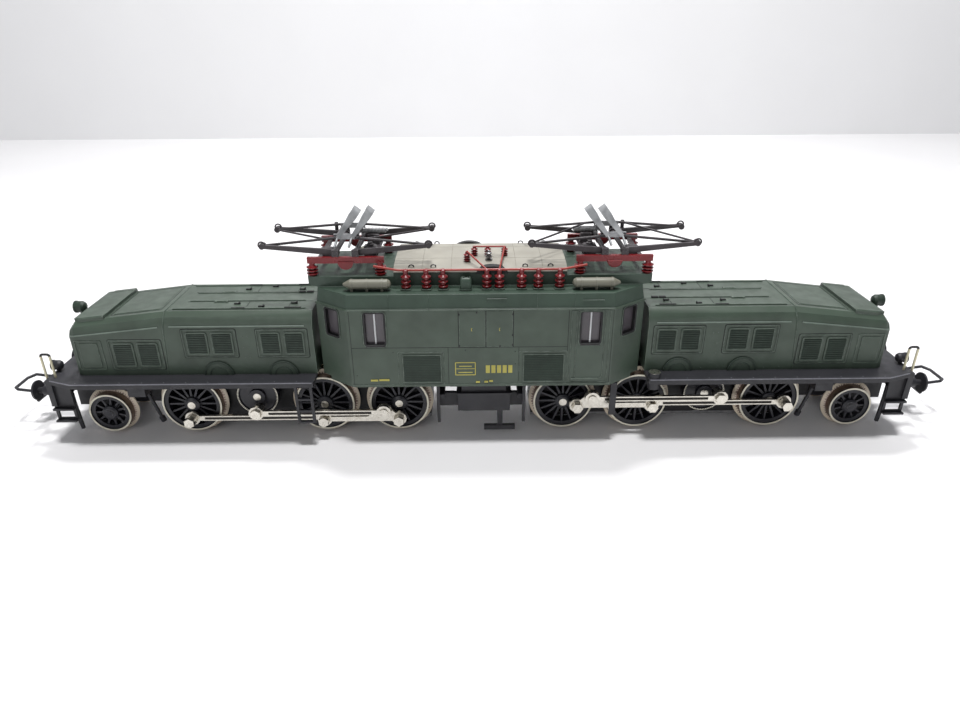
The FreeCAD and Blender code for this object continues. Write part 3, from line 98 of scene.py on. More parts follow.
def rounded(a0, a1, b0, b1, radius=0.0, steps=4):
    """A rectangle's outline with rounded corners."""
    if not radius:
        return [Vector(p) for p in ((a0, b0), (a1, b0), (a1, b1), (a0, b1))]
    points = []
    corners = ((a1 - radius, b0 + radius), (a1 - radius, b1 - radius), (a0 + radius, b1 - radius),
               (a0 + radius, b0 + radius))
    for i, corner in enumerate(corners):
        for step in range(steps + 1):
            angle = math.pi / 2 * (i - 1 + step / steps)
            points.append(Vector(corner) + radius * Vector((math.cos(angle), math.sin(angle))))
    return points


def circle(steps):
    """Points of a circle of radius 1, anticlockwise."""
    return [(math.cos(2 * math.pi * i / steps), math.sin(2 * math.pi * i / steps)) for i in range(steps)]


class Shape:
    """Closed solids gathered into one mesh.

    Points are (a, b, c) in the current frame: along a wall, up it, out of it.
    """

    def __init__(self):
        self.mesh = bmesh.new()
        self.frame = Matrix()

    def on(self, origin=(0, 0, 0), along=(1, 0, 0), up=(0, 1, 0)):
        a, b = Vector(along).normalized(), Vector(up).normalized()
        self.frame = Matrix((a, b, a.cross(b))).transposed().to_4x4()
        self.frame.translation = Vector(origin)
        return self

    def skin(self, rings, closed=False):
        """Faces between rings of points, with end faces unless the rings close on themselves."""
        rows = [[self.mesh.verts.new(self.frame @ Vector(p)) for p in ring] for ring in rings]
        for one, two in zip(rows, rows[1:] + (rows[:1] if closed else [])):
            for i in range(len(one)):
                j = (i + 1) % len(one)
                self.mesh.faces.new((one[i], one[j], two[j], two[i]))
        if not closed:
            self.mesh.faces.new(rows[0][::-1])
            self.mesh.faces.new(rows[-1])
        return self

    def slab(self, outline, c0, c1, soft=0.06):
        """A flat outline raised from c0 to c1, its outer edge softened."""
        rings = [[(*p, c0) for p in outline], [(*p, c1 - soft) for p in outline],
                 [(*p, c1) for p in offset(outline, -soft)]]
        return self.skin(rings)

    def block(self, a, b, c, soft=0.06, corner=0.0):
        return self.slab(rounded(*a, *b, corner), *c, soft)

    def ring(self, outline, width, c0, c1, soft=0.06):
        """A raised border inside an outline."""
        levels = ((0, c0), (0, c1 - soft), (-soft, c1),
                  (soft - width, c1), (-width, c1 - soft), (-width, c0))
        return self.skin([[(*p, c) for p in offset(outline, grow)] for grow, c in levels], closed=True)

    def bar(self, start, end, width, c0, c1):
        """A flat strip on the wall between two points."""
        one, two = Vector(start), Vector(end)
        way = (two - one).normalized()
        side = Vector((-way.y, way.x)) * width / 2
        self.slab([one - side, two - side, two + side, one + side], c0, c1, min(0.03, width / 4))
        return self

    def prism(self, a0, a1, section):
        """A section in (b, c) drawn along a."""
        return self.skin([[(a, b, c) for b, c in section] for a in (a0, a1)])

    def louvres(self, a, b, count, depth=0.28):
        """Slats one above another, each leaning out at its foot."""
        step = (b[1] - b[0]) / count
        for i in range(count):
            foot = b[0] + i * step
            lip, top = foot + step * 0.25, foot + step * 0.92
            self.prism(*a, [(foot, FOOT), (foot, depth), (lip, depth), (top, 0.03), (top, FOOT)])
        return self

    def lathe(self, profile, centre=(0, 0), steps=24):
        """A profile of (radius, c) turned about the outward axis through centre."""
        turn = circle(steps)
        return self.skin([[(centre[0] + r * x, centre[1] + r * y, c) for x, y in turn] for r, c in profile])

    def rivet(self, a, b, radius=0.16):
        return self.lathe([(radius, -0.05), (radius, 0.03), (radius * 0.6, 0.1)], (a, b), 8)

    def pipe(self, points, radius, sides=8):
        """A round wire through points."""
        points = [Vector(p) for p in points]
        rings, across = [], None
        for i, point in enumerate(points):
            way = (points[min(i + 1, len(points) - 1)] - points[max(i - 1, 0)]).normalized()
            if across is None:
                across = way.orthogonal().normalized()
            across = (across - way * across.dot(way)).normalized()
            other = way.cross(across)
            size = radius[i] if isinstance(radius, (list, tuple)) else radius
            rings.append([point + (across * math.cos(t) + other * math.sin(t)) * size
                          for t in (2 * math.pi * k / sides for k in range(sides))])
        return self.skin(rings)

    def coil(self, start, end, radius, wire, turns):
        """A helical spring between two points, its ends drawn in to the middle."""
        one, two = Vector(start), Vector(end)
        way = (two - one).normalized()
        across = way.orthogonal().normalized()
        other, steps = way.cross(across), int(turns * 10)
        points = [one]
        for i in range(steps + 1):
            angle, spot = 2 * math.pi * turns * i / steps, one.lerp(two, 0.06 + 0.88 * i / steps)
            points.append(spot + (across * math.cos(angle) + other * math.sin(angle)) * radius)
        return self.pipe([*points, two], wire, 6)

    def twin(self, move):
        """Adds a copy of everything so far, moved by a matrix."""
        mesh = self.mesh
        made = bmesh.ops.duplicate(mesh, geom=mesh.verts[:] + mesh.edges[:] + mesh.faces[:])
        verts = [item for item in made["geom"] if isinstance(item, bmesh.types.BMVert)]
        bmesh.ops.transform(mesh, matrix=move, verts=verts)
        return self

    def both_sides(self):
        return self.twin(Matrix.Scale(-1, 4, (0, 1, 0)))

    def all_round(self):
        return self.twin(HALF_TURN)


def make(name, shape, body, finish, move=Matrix(), smooth=35):
    """Turns a shape into a piece that rides on a body."""
    bmesh.ops.remove_doubles(shape.mesh, verts=shape.mesh.verts, dist=1e-5)
    bmesh.ops.recalc_face_normals(shape.mesh, faces=shape.mesh.faces)
    mesh = bpy.data.meshes.new(name)
    shape.mesh.to_mesh(mesh)
    mesh.transform(Matrix.Scale(MM, 4) @ move)
    mesh.shade_smooth()
    mesh.set_sharp_from_angle(angle=math.radians(smooth))
    mesh.materials.append(finish)
    piece = bpy.data.objects.new(name, mesh)
    bpy.context.scene.collection.objects.link(piece)
    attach(piece, body)
    return piece


def make_pair(name, shape, body, finish):
    """The piece on the rear bogie and its twin on the front one. body is the body's name without its end."""
    for end, move in ENDS:
        rides_on = body if body == "body" else f"{body}_{end}"
        make(f"{name}_{end}", shape, rides_on, finish, move)


def near_wall(depth, x=0, z=0):
    """The frame of an upright wall facing -Y at that distance from the middle."""
    return dict(origin=(x, -depth, z), along=(1, 0, 0), up=(0, 0, 1))


# ---------------------------------------------------------------- finishes
def srgb(red, green, blue):
    """A linear colour from display values out of 255, as the tables of finishes give them."""
    def linear(value):
        value /= 255
        return value / 12.92 if value <= 0.04045 else ((value + 0.055) / 1.055) ** 2.4
    return (linear(red), linear(green), linear(blue), 1)


class Finish:
    """A material whose colour, gloss and relief come from noise measured in millimetres."""

    def __init__(self, name, metal=0.0, **sockets):
        self.material = bpy.data.materials.new(name)
        self.material.use_nodes = True
        self.tree = self.material.node_tree
        self.shader = self.tree.nodes["Principled BSDF"]
        self.shader.inputs["Metallic"].default_value = metal
        for socket, value in sockets.items():
            self.shader.inputs[socket.replace("_", " ")].default_value = value
        place = self.add("ShaderNodeVectorMath", {0: self.add("ShaderNodeTexCoord").outputs["Object"]},
                         operation="SCALE")
        place.inputs["Scale"].default_value = 1 / MM
        self.place = place.outputs[0]

    def add(self, kind, sources=None, **settings):
        node = self.tree.nodes.new(kind)
        for key, value in settings.items():
            setattr(node, key, value)
        for socket, source in (sources or {}).items():
            if isinstance(source, bpy.types.NodeSocket):
                self.tree.links.new(source, node.inputs[socket])
            else:
                node.inputs[socket].default_value = source
        return node

    def noise(self, size, detail=3.0, stretch=(1, 1, 1)):
        """Noise with features of about that size."""
        place = self.add("ShaderNodeVectorMath", {0: self.place, 1: stretch}, operation="MULTIPLY")
        return self.add("ShaderNodeTexNoise", {"Vector": place.outputs[0], "Scale": 1 / size,
                                               "Detail": detail}).outputs[0]

    def remap(self, source, low, high, to_low=0.0, to_high=1.0):
        return self.add("ShaderNodeMapRange", {0: source, 1: low, 2: high, 3: to_low, 4: to_high}).outputs[0]

    def mix(self, share, one, two):
        return self.add("ShaderNodeMix", {0: share, 6: one, 7: two}, data_type="RGBA").outputs[2]

    def edges(self, width, sharpness=0.25):
        """Near 1 along the edges of the shape, and 0 on its faces."""
        soft = self.add("ShaderNodeBevel", {"Radius": width * MM}, samples=4).outputs[0]
        plain = self.add("ShaderNodeNewGeometry").outputs["Normal"]
        along = self.add("ShaderNodeVectorMath", {0: soft, 1: plain}, operation="DOT_PRODUCT")
        return self.remap(along.outputs["Value"], 1.0 - 0.02, 1.0 - sharpness)

    def crevices(self, distance):
        """Near 1 in corners, and 0 on open faces."""
        openness = self.add("ShaderNodeAmbientOcclusion", {"Distance": distance * MM}, samples=6)
        return self.remap(openness.outputs["AO"], 0.85, 0.25)

    def times(self, one, two):
        return self.add("ShaderNodeMath", {0: one, 1: two}, operation="MULTIPLY").outputs[0]

    def set(self, colour=None, rough=None, relief=None, strength=0.3, depth=0.05):
        if colour is not None:
            self.tree.links.new(colour, self.shader.inputs["Base Color"])
        if rough is not None:
            self.tree.links.new(rough, self.shader.inputs["Roughness"])
        if relief is not None:
            bump = {"Height": relief, "Strength": strength, "Distance": depth * MM}
            self.tree.links.new(self.add("ShaderNodeBump", bump).outputs[0], self.shader.inputs["Normal"])
        return self.material


def painted(name, base, light, dark, rough=(0.38, 0.5), mottle=6.0, grain=0.25, highlight_and_wear=0.5, shade_and_dirt=0.75,
            **sockets):
    """Paint or moulded plastic: mottled colour, pale edges that are painted highlight and wear, crevices
    darkened as painted shade with some dirt, and a fine grain.
    """
    f = Finish(name, **sockets)
    base, light, dark = srgb(*base), srgb(*light), srgb(*dark)
    cloud = f.remap(f.noise(mottle, 4), 0.35, 0.65)
    colour = f.mix(cloud, base, [c * 0.8 for c in base[:3]] + [1])
    # Pale edges: a painted highlight, partly wear.
    lit_and_worn_edges = f.times(f.edges(0.22), f.remap(f.noise(1.6, 4), 0.36, 0.6, 0, highlight_and_wear))
    colour = f.mix(lit_and_worn_edges, colour, light)
    # Darker towards the crevices: painted shade, partly dirt.
    colour = f.mix(f.times(f.crevices(1.6), shade_and_dirt), colour, dark)
    gloss = f.remap(f.noise(3.0, 3), 0.3, 0.7, *rough)
    return f.set(colour, gloss, f.noise(grain, 2), 0.12, 0.04)


def metal(name, base, dark, rough=(0.22, 0.4), brush=(1, 1, 1), size=1.2, shade_and_dirt=0.8, film_share=0.55):
    """Plated or turned metal with fine marks, a dark film, and corners darkened to the film's colour as
    painted shade with some dirt.
    """
    f = Finish(name, metal=1.0)
    base, dark = srgb(*base), srgb(*dark)
    film = f.remap(f.noise(size, 4, brush), 0.4, 0.75, 0, film_share)
    colour = f.mix(film, base, dark)
    # Darker in corners: painted shade, partly dirt.
    colour = f.mix(f.times(f.crevices(0.9), shade_and_dirt), colour, dark)
    gloss = f.remap(f.noise(0.5, 3, brush), 0.3, 0.7, *rough)
    return f.set(colour, gloss, f.noise(0.15, 2, brush), 0.12, 0.03)


GREEN = painted("green_paint", (69, 83, 71), (146, 160, 149), (12, 18, 15), (0.34, 0.46), highlight_and_wear=0.8)
LOUVRE_GREEN = painted("louvre_green", (46, 60, 50), (92, 110, 98), (7, 11, 9), (0.4, 0.55))
ROOF_GREEN = painted("roof_green", (58, 76, 64), (126, 140, 128), (12, 18, 15), (0.4, 0.55))
# A lighter green for the rain strips and gutters: a painted highlight along the eaves.
HIGHLIGHT_GREEN = painted("highlight_green", (104, 118, 108), (156, 166, 156), (26, 34, 30), (0.34, 0.46))
BLACK = painted("frame_plastic", (38, 38, 43), (96, 96, 104), (8, 8, 10), (0.4, 0.58))
DECK = painted("deck_plastic", (50, 50, 55), (104, 104, 110), (14, 14, 17), (0.45, 0.62), grain=0.5)
# The bogie frames are painted darker than the other black plastic: painted shade behind the wheels.
SHADED_FRAME_BLACK = painted("shaded_frame_plastic", (17, 17, 21), (60, 60, 66), (5, 5, 6), (0.42, 0.6))
WHEEL = painted("wheel_plastic", (33, 33, 40), (84, 84, 94), (5, 5, 7), (0.34, 0.5), highlight_and_wear=0.8)
RED = painted("insulator_plastic", (126, 24, 30), (192, 74, 72), (42, 6, 9), (0.24, 0.36), highlight_and_wear=0.4)
BUS = painted("busbar_plastic", (156, 50, 40), (198, 98, 80), (60, 14, 12), (0.3, 0.42), highlight_and_wear=0.4)
PALE = painted("cover_plastic", (162, 158, 147), (186, 183, 172), (92, 88, 78), (0.5, 0.65), mottle=9.0,
               shade_and_dirt=0.4)
SEAM = painted("cover_seam", (120, 116, 105), (140, 136, 124), (66, 63, 55), (0.6, 0.7))
TANK = painted("tank_paint", (122, 121, 108), (168, 167, 152), (26, 28, 26), (0.36, 0.5))
ARM = painted("arm_plastic", (62, 57, 60), (120, 112, 116), (16, 14, 16), (0.4, 0.55))
YELLOW = painted("yellow_print", (186, 178, 86), (204, 196, 112), (110, 102, 40), (0.5, 0.6), highlight_and_wear=0.2)
LINE = painted("seam_shadow", (20, 26, 23), (36, 43, 38), (6, 8, 7), (0.6, 0.7), highlight_and_wear=0.1)
GASKET = painted("rubber_gasket", (22, 22, 24), (60, 60, 64), (6, 6, 7), (0.5, 0.6))
WHITE = painted("white_bar", (226, 228, 230), (236, 236, 238), (150, 150, 152), (0.4, 0.5), highlight_and_wear=0.1)
CAB = painted("cab_lining", (84, 78, 84), (110, 104, 110), (40, 37, 40), (0.6, 0.75), highlight_and_wear=0.1)
CREAM = painted("tyre_cream", (232, 227, 208), (244, 241, 228), (130, 120, 96), (0.26, 0.4), shade_and_dirt=0.4)
FLANGE = painted("flange_cream", (230, 216, 194), (240, 232, 214), (110, 90, 78), (0.26, 0.4), shade_and_dirt=0.3)
# A pale grey for the deck's edge line and rivets: a painted highlight, partly wear.
EDGE = painted("worn_and_lit_edge", (110, 110, 118), (164, 164, 172), (30, 30, 34), (0.32, 0.46))
RAIL = painted("rail_lacquer", (216, 210, 180), (236, 232, 206), (104, 90, 54), (0.24, 0.36), metal=0.3)
# The flute floors of the rods are coloured darker than the rods.
FLUTE = painted("dark_flute_floor", (60, 55, 52), (128, 122, 114), (20, 18, 17), (0.4, 0.55), highlight_and_wear=0.4)
SPRING = painted("spring_wire", (188, 188, 190), (226, 226, 228), (70, 70, 72), (0.3, 0.42), metal=0.4)
NICKEL = metal("nickel_silver", (222, 218, 208), (150, 142, 130), (0.24, 0.38), shade_and_dirt=0.6, film_share=0.35)
TREAD = metal("tread_steel", (150, 134, 126), (84, 66, 60), (0.3, 0.46), size=2.0)
BRASS = metal("brass_wire", (206, 190, 140), (120, 98, 56), (0.22, 0.36))
STRIP = metal("strip_alloy", (178, 180, 182), (112, 112, 114), (0.38, 0.52), size=2.5)
STEEL = metal("plated_steel", (150, 150, 152), (70, 68, 66), (0.28, 0.44))
COPPER = metal("copper_winding", (184, 112, 72), (90, 46, 26), (0.3, 0.5), (1, 6, 1), 0.4)


def glass(name, tint, rough, share):
    """Thin moulded window or lamp glass with faint ripples."""
    f = Finish(name, Transmission_Weight=share, IOR=1.49)
    tint = srgb(*tint)
    colour = f.mix(f.remap(f.noise(3.0, 2), 0.3, 0.7), tint, [c * 0.85 for c in tint[:3]] + [1])
    gloss = f.remap(f.noise(1.2, 2), 0.3, 0.7, rough, rough + 0.08)
    return f.set(colour, gloss, f.noise(2.5, 1), 0.1, 0.03)


WINDOW = glass("window_acrylic", (104, 99, 104), 0.06, 0.3)
LENS = glass("lamp_lens", (226, 232, 236), 0.04, 0.6)

# ---------------------------------------------------------------- finishes of the CAD nodes
ONE_FINISH = {
    "centre_shell": GREEN, "hood": GREEN, "headlamps": BLACK, "centre_frame": BLACK,
    "equipment_boxes": BLACK, "signal_magnets": BLACK, "glazing": WINDOW, "roof_cover": PALE,
    "roof_insulators": RED, "roof_busbar": BUS, "air_tanks": TANK, "bogie_frame": SHADED_FRAME_BLACK,
    "footplate": BLACK, "buffers": BLACK, "handrails": RAIL, "keeper_plate": STEEL,
    "motor_frame": STEEL, "pony_truck": BLACK, "coupler": BLACK, "coupler_hoop": BLACK,
    "armature": COPPER, "idler_gear": BRASS, "pickup_shoe": STEEL, "lower_arm_outer": ARM,
    "lower_arm_inner": ARM, "upper_arm_outer": ARM, "upper_arm_inner": ARM, "collector": STRIP,
    "panto_base": RED, "right_rods": NICKEL, "left_rods": NICKEL, "pony_wheels": WHEEL,
    "outer_wheels": WHEEL, "middle_wheels": WHEEL, "inner_wheels": WHEEL, "jackshaft": WHEEL,
}
# The radius that each node's sharp edges are rounded to.
SOFTENED = {"centre_shell": 0.16, "hood": 0.16, "footplate": 0.08, "centre_frame": 0.08,
            "equipment_boxes": 0.12, "bogie_frame": 0.08, "roof_cover": 0.1, "right_rods": 0.06,
            "left_rods": 0.06, "coupler": 0.08}


def base_name(node):
    for end in ("_front", "_rear"):
        if node.endswith(end):
            return node[:-len(end)]
    return node


def recolour(node, finishes, choose):
    """Gives each face of a node one of several finishes, by its middle and its normal."""
    mesh = NODES[node].data
    mesh.materials.clear()
    for finish in finishes:
        mesh.materials.append(finish)
    for face in mesh.polygons:
        face.material_index = choose(face.center / MM, face.normal)


def soften(node, width):
    """Rounds the sharp edges of a node with modifiers, and leaves its own mesh alone."""
    item = NODES[node]
    item.modifiers.new("joined", "WELD").merge_threshold = 1e-6
    flat = item.modifiers.new("flat", "DECIMATE")
    flat.decimate_type, flat.angle_limit = "DISSOLVE", math.radians(1)
    flat.delimit = {"MATERIAL"}
    bevel = item.modifiers.new("bevel", "BEVEL")
    bevel.width, bevel.segments = width * MM, 2
    bevel.limit_method, bevel.angle_limit = "ANGLE", math.radians(32)
    item.modifiers.new("normals", "WEIGHTED_NORMAL").keep_sharp = False


for name, item in NODES.items():
    item.data.materials.clear()
    item.data.materials.append(ONE_FINISH[base_name(name)])
    if base_name(name) in SOFTENED:
        soften(name, SOFTENED[base_name(name)])


# How a wheel set's faces are told apart: by distance from the middle plane, and by distance from the
# axle, with the last three measured from the tread.
GEAR_OUT, WHEEL_OUT, CRANK_OUT = 6.9, 10.1, 10.62
AXLE_RADIUS, TYRE_INNER, TREAD_INNER, FLANGE_INNER = 1.5, -0.62, -0.12, 0.3
FLANGE_TALL, JACK_SPARE = 1.1, 0.35  # the jackshaft has no flange, and its tread is set past its rim
WHEEL_FINISHES = (WHEEL, CREAM, TREAD, NICKEL, BRASS, FLANGE)
MOSTLY, FACING = 0.7, 0.9  # shares of a normal that count as facing a way
TOUCHING, FLUTE_TOUCHING = 0.05, 0.04
SOCKET_UP = 1  # the rails' sockets stand more than this above the deck


def wheel_face(middle_x, middle_z, tread, crank):
    """Chooses one of the wheel finishes for each face of a wheel set."""
    def choose(spot, normal):
        reach = math.hypot(spot.x - middle_x, spot.z - middle_z)
        depth, flat = abs(spot.y), abs(normal.y) > MOSTLY
        if depth < GEAR_OUT:
            finish = BRASS if reach > AXLE_RADIUS else NICKEL
        elif crank and depth > CRANK_OUT:
            finish = NICKEL
        elif flat and depth > WHEEL_OUT and reach > tread + TYRE_INNER:
            finish = CREAM
        elif reach > tread + FLANGE_INNER:
            finish = FLANGE
        elif reach > tread + TREAD_INNER:
            finish = TREAD
        else:
            finish = WHEEL
        return WHEEL_FINISHES.index(finish)
    return choose


for name in NODES:
    kind = base_name(name)
    if kind.endswith("_wheels") or kind == "jackshaft":
        low, high = limits(name)
        radius = (high.z - low.z) / 2
        tread = radius + JACK_SPARE if kind == "jackshaft" else radius - FLANGE_TALL
        recolour(name, WHEEL_FINISHES, wheel_face(
            (low.x + high.x) / 2, (low.z + high.z) / 2, tread, kind != "pony_wheels"))


def rod_face(spot, normal):
    in_flute = min(abs(abs(spot.y) - floor) for floor in FLUTE_FLOORS) < FLUTE_TOUCHING
    return 1 if in_flute and abs(normal.y) > MOSTLY else 0


def deck_face(spot, normal):
    on_top = normal.z > FACING and abs(spot.z - deck_top) < TOUCHING
    socket_top = normal.z > FACING and spot.z > deck_top + SOCKET_UP
    return 2 if socket_top else 1 if on_top else 0


def panto_face(spot, normal):
    near_beam = abs(abs(spot.y) - BEAM_OUT) < BEAM_HALF
    return 0 if spot.z < BEAM_TOP and near_beam else 1


def shell_face(spot, normal):
    on_roof = spot.z > roof_edge - TOUCHING
    on_band = spot.z > eave + TOUCHING and abs(normal.z) < FACING
    return 1 if on_roof or on_band else 0


def lamp_face(spot, normal):
    return 1 if spot.z < LAMP_PARTING else 0


def rail_face(spot, normal):
    return 1 if spot.z > RAIL_TOP else 0


recolour("centre_shell", [GREEN, ROOF_GREEN], shell_face)
for end, _ in ENDS:
    recolour(f"right_rods_{end}", [NICKEL, FLUTE], rod_face)
    recolour(f"left_rods_{end}", [NICKEL, FLUTE], rod_face)
    recolour(f"footplate_{end}", [BLACK, DECK, NICKEL], deck_face)
    recolour(f"panto_base_{end}", [RED, ARM], panto_face)
    recolour(f"headlamps_{end}", [LOUVRE_GREEN, BLACK], lamp_face)
    recolour(f"handrails_{end}", [RAIL, GASKET], rail_face)


# ---------------------------------------------------------------- hood
def flat_top(x=0, height=0.0, y=0):
    """The frame of a level surface at that height, with a along X and b along Y."""
    return dict(origin=(x, y, height), along=(1, 0, 0), up=(0, 1, 0))


def slope_frame():
    """The frame of the hood's sloping top, with a from the bend towards the nose, b across it."""
    return dict(origin=(hood_bend, 0, hood_top), along=(slope_run, 0, nose_top - hood_top), up=(0, 1, 0))


def louvre_pair(shape, a0, a1, b0, b1):
    """A raised frame round two louvred openings."""
    shape.ring(rounded(a0, a1, b0, b1, 0.5), 0.35, FOOT, 0.16)
    middle = (a0 + a1) / 2
    for left, right in ((a0 + 0.9, middle - 0.45), (middle + 0.45, a1 - 0.9)):
        shape.ring(rounded(left, right, b0 + 0.8, b1 - 0.8, 0.6), 0.4, FOOT, 0.3)


HOOD_LOUVRES = ((43.0, 55.8, 23.3, 31.0), (60.7, 74.2, 23.4, 31.1), (79.6, 92.8, 20.2, 28.4))
SLAT_COUNT, SHADOW_OUT = 11, 0.16
frames = Shape().on(**near_wall(hood_side))
slats = Shape().on(**near_wall(hood_side))
shadows = Shape().on(**near_wall(hood_side))
for a0, a1, b0, b1 in HOOD_LOUVRES:
    louvre_pair(frames, a0, a1, b0, b1)
    middle = (a0 + a1) / 2
    for left, right in ((a0 + 1.3, middle - 0.85), (middle + 0.85, a1 - 1.3)):
        slats.louvres((left, right), (b0 + 1.2, b1 - 1.2), SLAT_COUNT)
    outline = rounded(a0 - SHADOW_OUT, a1 + SHADOW_OUT, b0 - SHADOW_OUT, b1 + SHADOW_OUT, 0.55)
    shadows.ring(outline, 0.18, FOOT, 0.04, 0.02)
make_pair("hood_louvre_shadows", shadows.both_sides(), "bogie", LINE)
make_pair("hood_louvre_frames", frames.both_sides(), "bogie", GREEN)
make_pair("hood_louvre_slats", slats.both_sides(), "bogie", LOUVRE_GREEN)

hatch = Shape().on(**near_wall(hood_side))
hatch.ring(rounded(94.4, 101.2, 20.2, 28.4, 0.5), 0.3, FOOT, 0.14)
hatch.block((95.4, 100.2), (21.0, 27.6), (FOOT, 0.2), 0.1, 0.4)
hatch.rivet(97.8, 26.9)
make_pair("hood_hatch", hatch.both_sides(), "bogie", GREEN)

COVERS, RIVET_REACH = (50.0, 66.4), 2.9  # the middles of the round covers, on the deck's line
rims = Shape().on(**near_wall(hood_side))
for x in COVERS:
    arc = [math.radians(180 * i / 16) for i in range(17)]
    for radius, width, rise in ((3.75, 0.5, 0.45), (2.3, 0.25, 0.46)):
        outer = [Vector((x + radius * math.cos(t), deck_top + radius * math.sin(t))) for t in arc]
        inner = [Vector((x + (radius - width) * math.cos(t), deck_top + (radius - width) * math.sin(t)))
                 for t in reversed(arc)]
        rims.slab(outer + inner, FOOT, rise, 0.05)
    for t in (30, 90, 150):
        angle = math.radians(t)
        rims.rivet(x + RIVET_REACH * math.cos(angle), deck_top + RIVET_REACH * math.sin(angle), 0.14)
make_pair("hood_cover_rims", rims.both_sides(), "bogie", LOUVRE_GREEN)

# The rain strip under the shoulder and round the nose, broken at the bend, in the lighter green of a painted
# highlight.
NOSE_IN = 1.6  # the strip starts to turn this far before the nose
strip = Shape().on()
eave_run = [(hood_inner + 2.0, hood_eave), (hood_bend - 1.2, hood_eave)]
nose_run = [(hood_bend + 1.6, hood_eave - 0.15), (hood_nose - NOSE_IN, nose_eave)]
for run in (eave_run, nose_run):
    strip.pipe([(x, -hood_side - 0.02, z) for x, z in run], 0.2)
strip.both_sides()
turn = [(hood_nose - NOSE_IN, -hood_side, nose_eave),
        (hood_nose - 0.5, -hood_side + 0.4, nose_eave - 0.2),
        (hood_nose, -hood_side + 1.2, nose_eave - 0.25)]
strip.pipe([*turn, (hood_nose + 0.05, 0, nose_eave - 0.25), *((x, -y, z) for x, y, z in turn[::-1])], 0.2)
make_pair("hood_rain_strip", strip, "bogie", HIGHLIGHT_GREEN)

# The joint band at the bend runs up one side, over the shoulders and the top, and down the other.
BAND_FOOT_X = 79.4
knee_y = hood_flat + (hood_side - hood_flat) * 0.62
knee_z = hood_eave + (hood_top - hood_eave) * 0.68
half_band = [(BAND_FOOT_X, -hood_side, deck_top), (hood_bend + 0.3, -hood_side, hood_eave),
             (hood_bend, -knee_y, knee_z), (hood_bend, -hood_flat, hood_top)]
band = Shape().on()
band.pipe(half_band + [(x, -y, z) for x, y, z in reversed(half_band)], 0.17)
make_pair("hood_joint_band", band, "bogie", GREEN)

seams = Shape().on(**flat_top(height=hood_top))
OUTER_SEAM, INNER_SEAM, CROSS_SEAMS = 8.9, 3.4, (58.6, 48.0)
for y, start, end in ((-OUTER_SEAM, hood_inner + 1.0, hood_bend - 0.6),
                      (OUTER_SEAM, hood_inner + 1.0, hood_bend - 0.6),
                      (-INNER_SEAM, hood_inner + 1.0, hood_bend - 3.5),
                      (INNER_SEAM, hood_inner + 1.0, hood_bend - 3.5)):
    seams.bar((start, y), (end, y), SEAM_WIDE, THIN_FOOT, 0.05)
for y0, y1 in ((-OUTER_SEAM, -INNER_SEAM), (INNER_SEAM, OUTER_SEAM)):
    for x in CROSS_SEAMS:
        seams.bar((x, y0), (x, y1), FINE_WIDE, THIN_FOOT, 0.05)
seams.on(**slope_frame())
PANEL_START, PANEL_END, PANEL_OUT = 1.4, 14.4, 8.2  # the panel on the slope
for y in (-PANEL_OUT, PANEL_OUT):
    seams.bar((PANEL_START, y), (PANEL_END, y), SEAM_WIDE, THIN_FOOT, 0.05)
for a in (PANEL_START, PANEL_END):
    seams.bar((a, -PANEL_OUT), (a, PANEL_OUT), SEAM_WIDE, THIN_FOOT, 0.05)
make_pair("hood_panel_seams", seams, "bogie", LINE)

tops = Shape().on(**flat_top(height=hood_top))
for y in (-8.3, 8.3):
    tops.block((hood_inner + 2, hood_bend - 1.5), (y - 0.25, y + 0.25), (FOOT, 0.22), 0.08)
tops.block((hood_inner + 3, hood_bend - 4), (-3.05, -2.6), (FOOT, 0.16))
tops.block((hood_inner + 3, hood_bend - 4), (2.6, 3.05), (FOOT, 0.16))
tops.on(**slope_frame())
tops.block((PANEL_START + 0.5, PANEL_END - 0.5), (-7.7, 7.7), (FOOT, 0.14), 0.1, 0.3)
make_pair("hood_top_panels", tops, "bogie", GREEN)

PAD_OUT, PAD_HALF = 9.0, 0.9
nose = Shape().on(**slope_frame())
for side in (-1, 1):
    low, high = side * PAD_OUT - PAD_HALF, side * PAD_OUT + PAD_HALF
    outline = [Vector(p) for p in ((15.4, low), (21.4, low), (22.0, high), (15.4, high))]
    nose.slab(outline, -0.2, 0.85, 0.2)
make_pair("hood_nose_pads", nose, "bogie", GREEN)

HOOKS = ((61.6, -5.2), (55.0, -7.2), (47.2, -5.0), (61.6, 5.2), (55.0, 7.2), (47.2, 5.0))
hooks = Shape().on(**flat_top(height=hood_top))
for x, y in HOOKS:
    hooks.block((x - 0.9, x + 0.6), (y - 0.22, y + 0.22), (THIN_FOOT, 0.34), 0.1, 0.1)
    hooks.block((x - 0.9, x - 0.5), (y - 0.6, y + 0.3), (THIN_FOOT, 0.5), 0.1, 0.1)
for y in (-8.3, 8.3):
    hooks.block((44.6, 48.8), (y - 0.2, y + 0.2), (0.1, 0.42), 0.1)
    hooks.block((58.6, 62.0), (y - 0.2, y + 0.2), (0.1, 0.36), 0.1)
for x in (43.8, 45.8):
    hooks.block((x, x + 1.7), (-3.3, -2.6), (THIN_FOOT, 0.4), 0.1)
make_pair("hood_hooks", hooks, "bogie", GASKET)

hinges = Shape().on(**flat_top(height=hood_top))
for y in (-INNER_SEAM, INNER_SEAM):
    hinges.block((64.6, 67.2), (y - 0.45, y + 0.45), (THIN_FOOT, 0.3), 0.1, 0.15)
    hinges.block((64.2, 64.7), (y - 0.6, y + 0.6), (THIN_FOOT, 0.24), 0.05)
    hinges.block((67.1, 67.6), (y - 0.6, y + 0.6), (THIN_FOOT, 0.24), 0.05)
make_pair("hood_hinges", hinges, "bogie", GREEN)

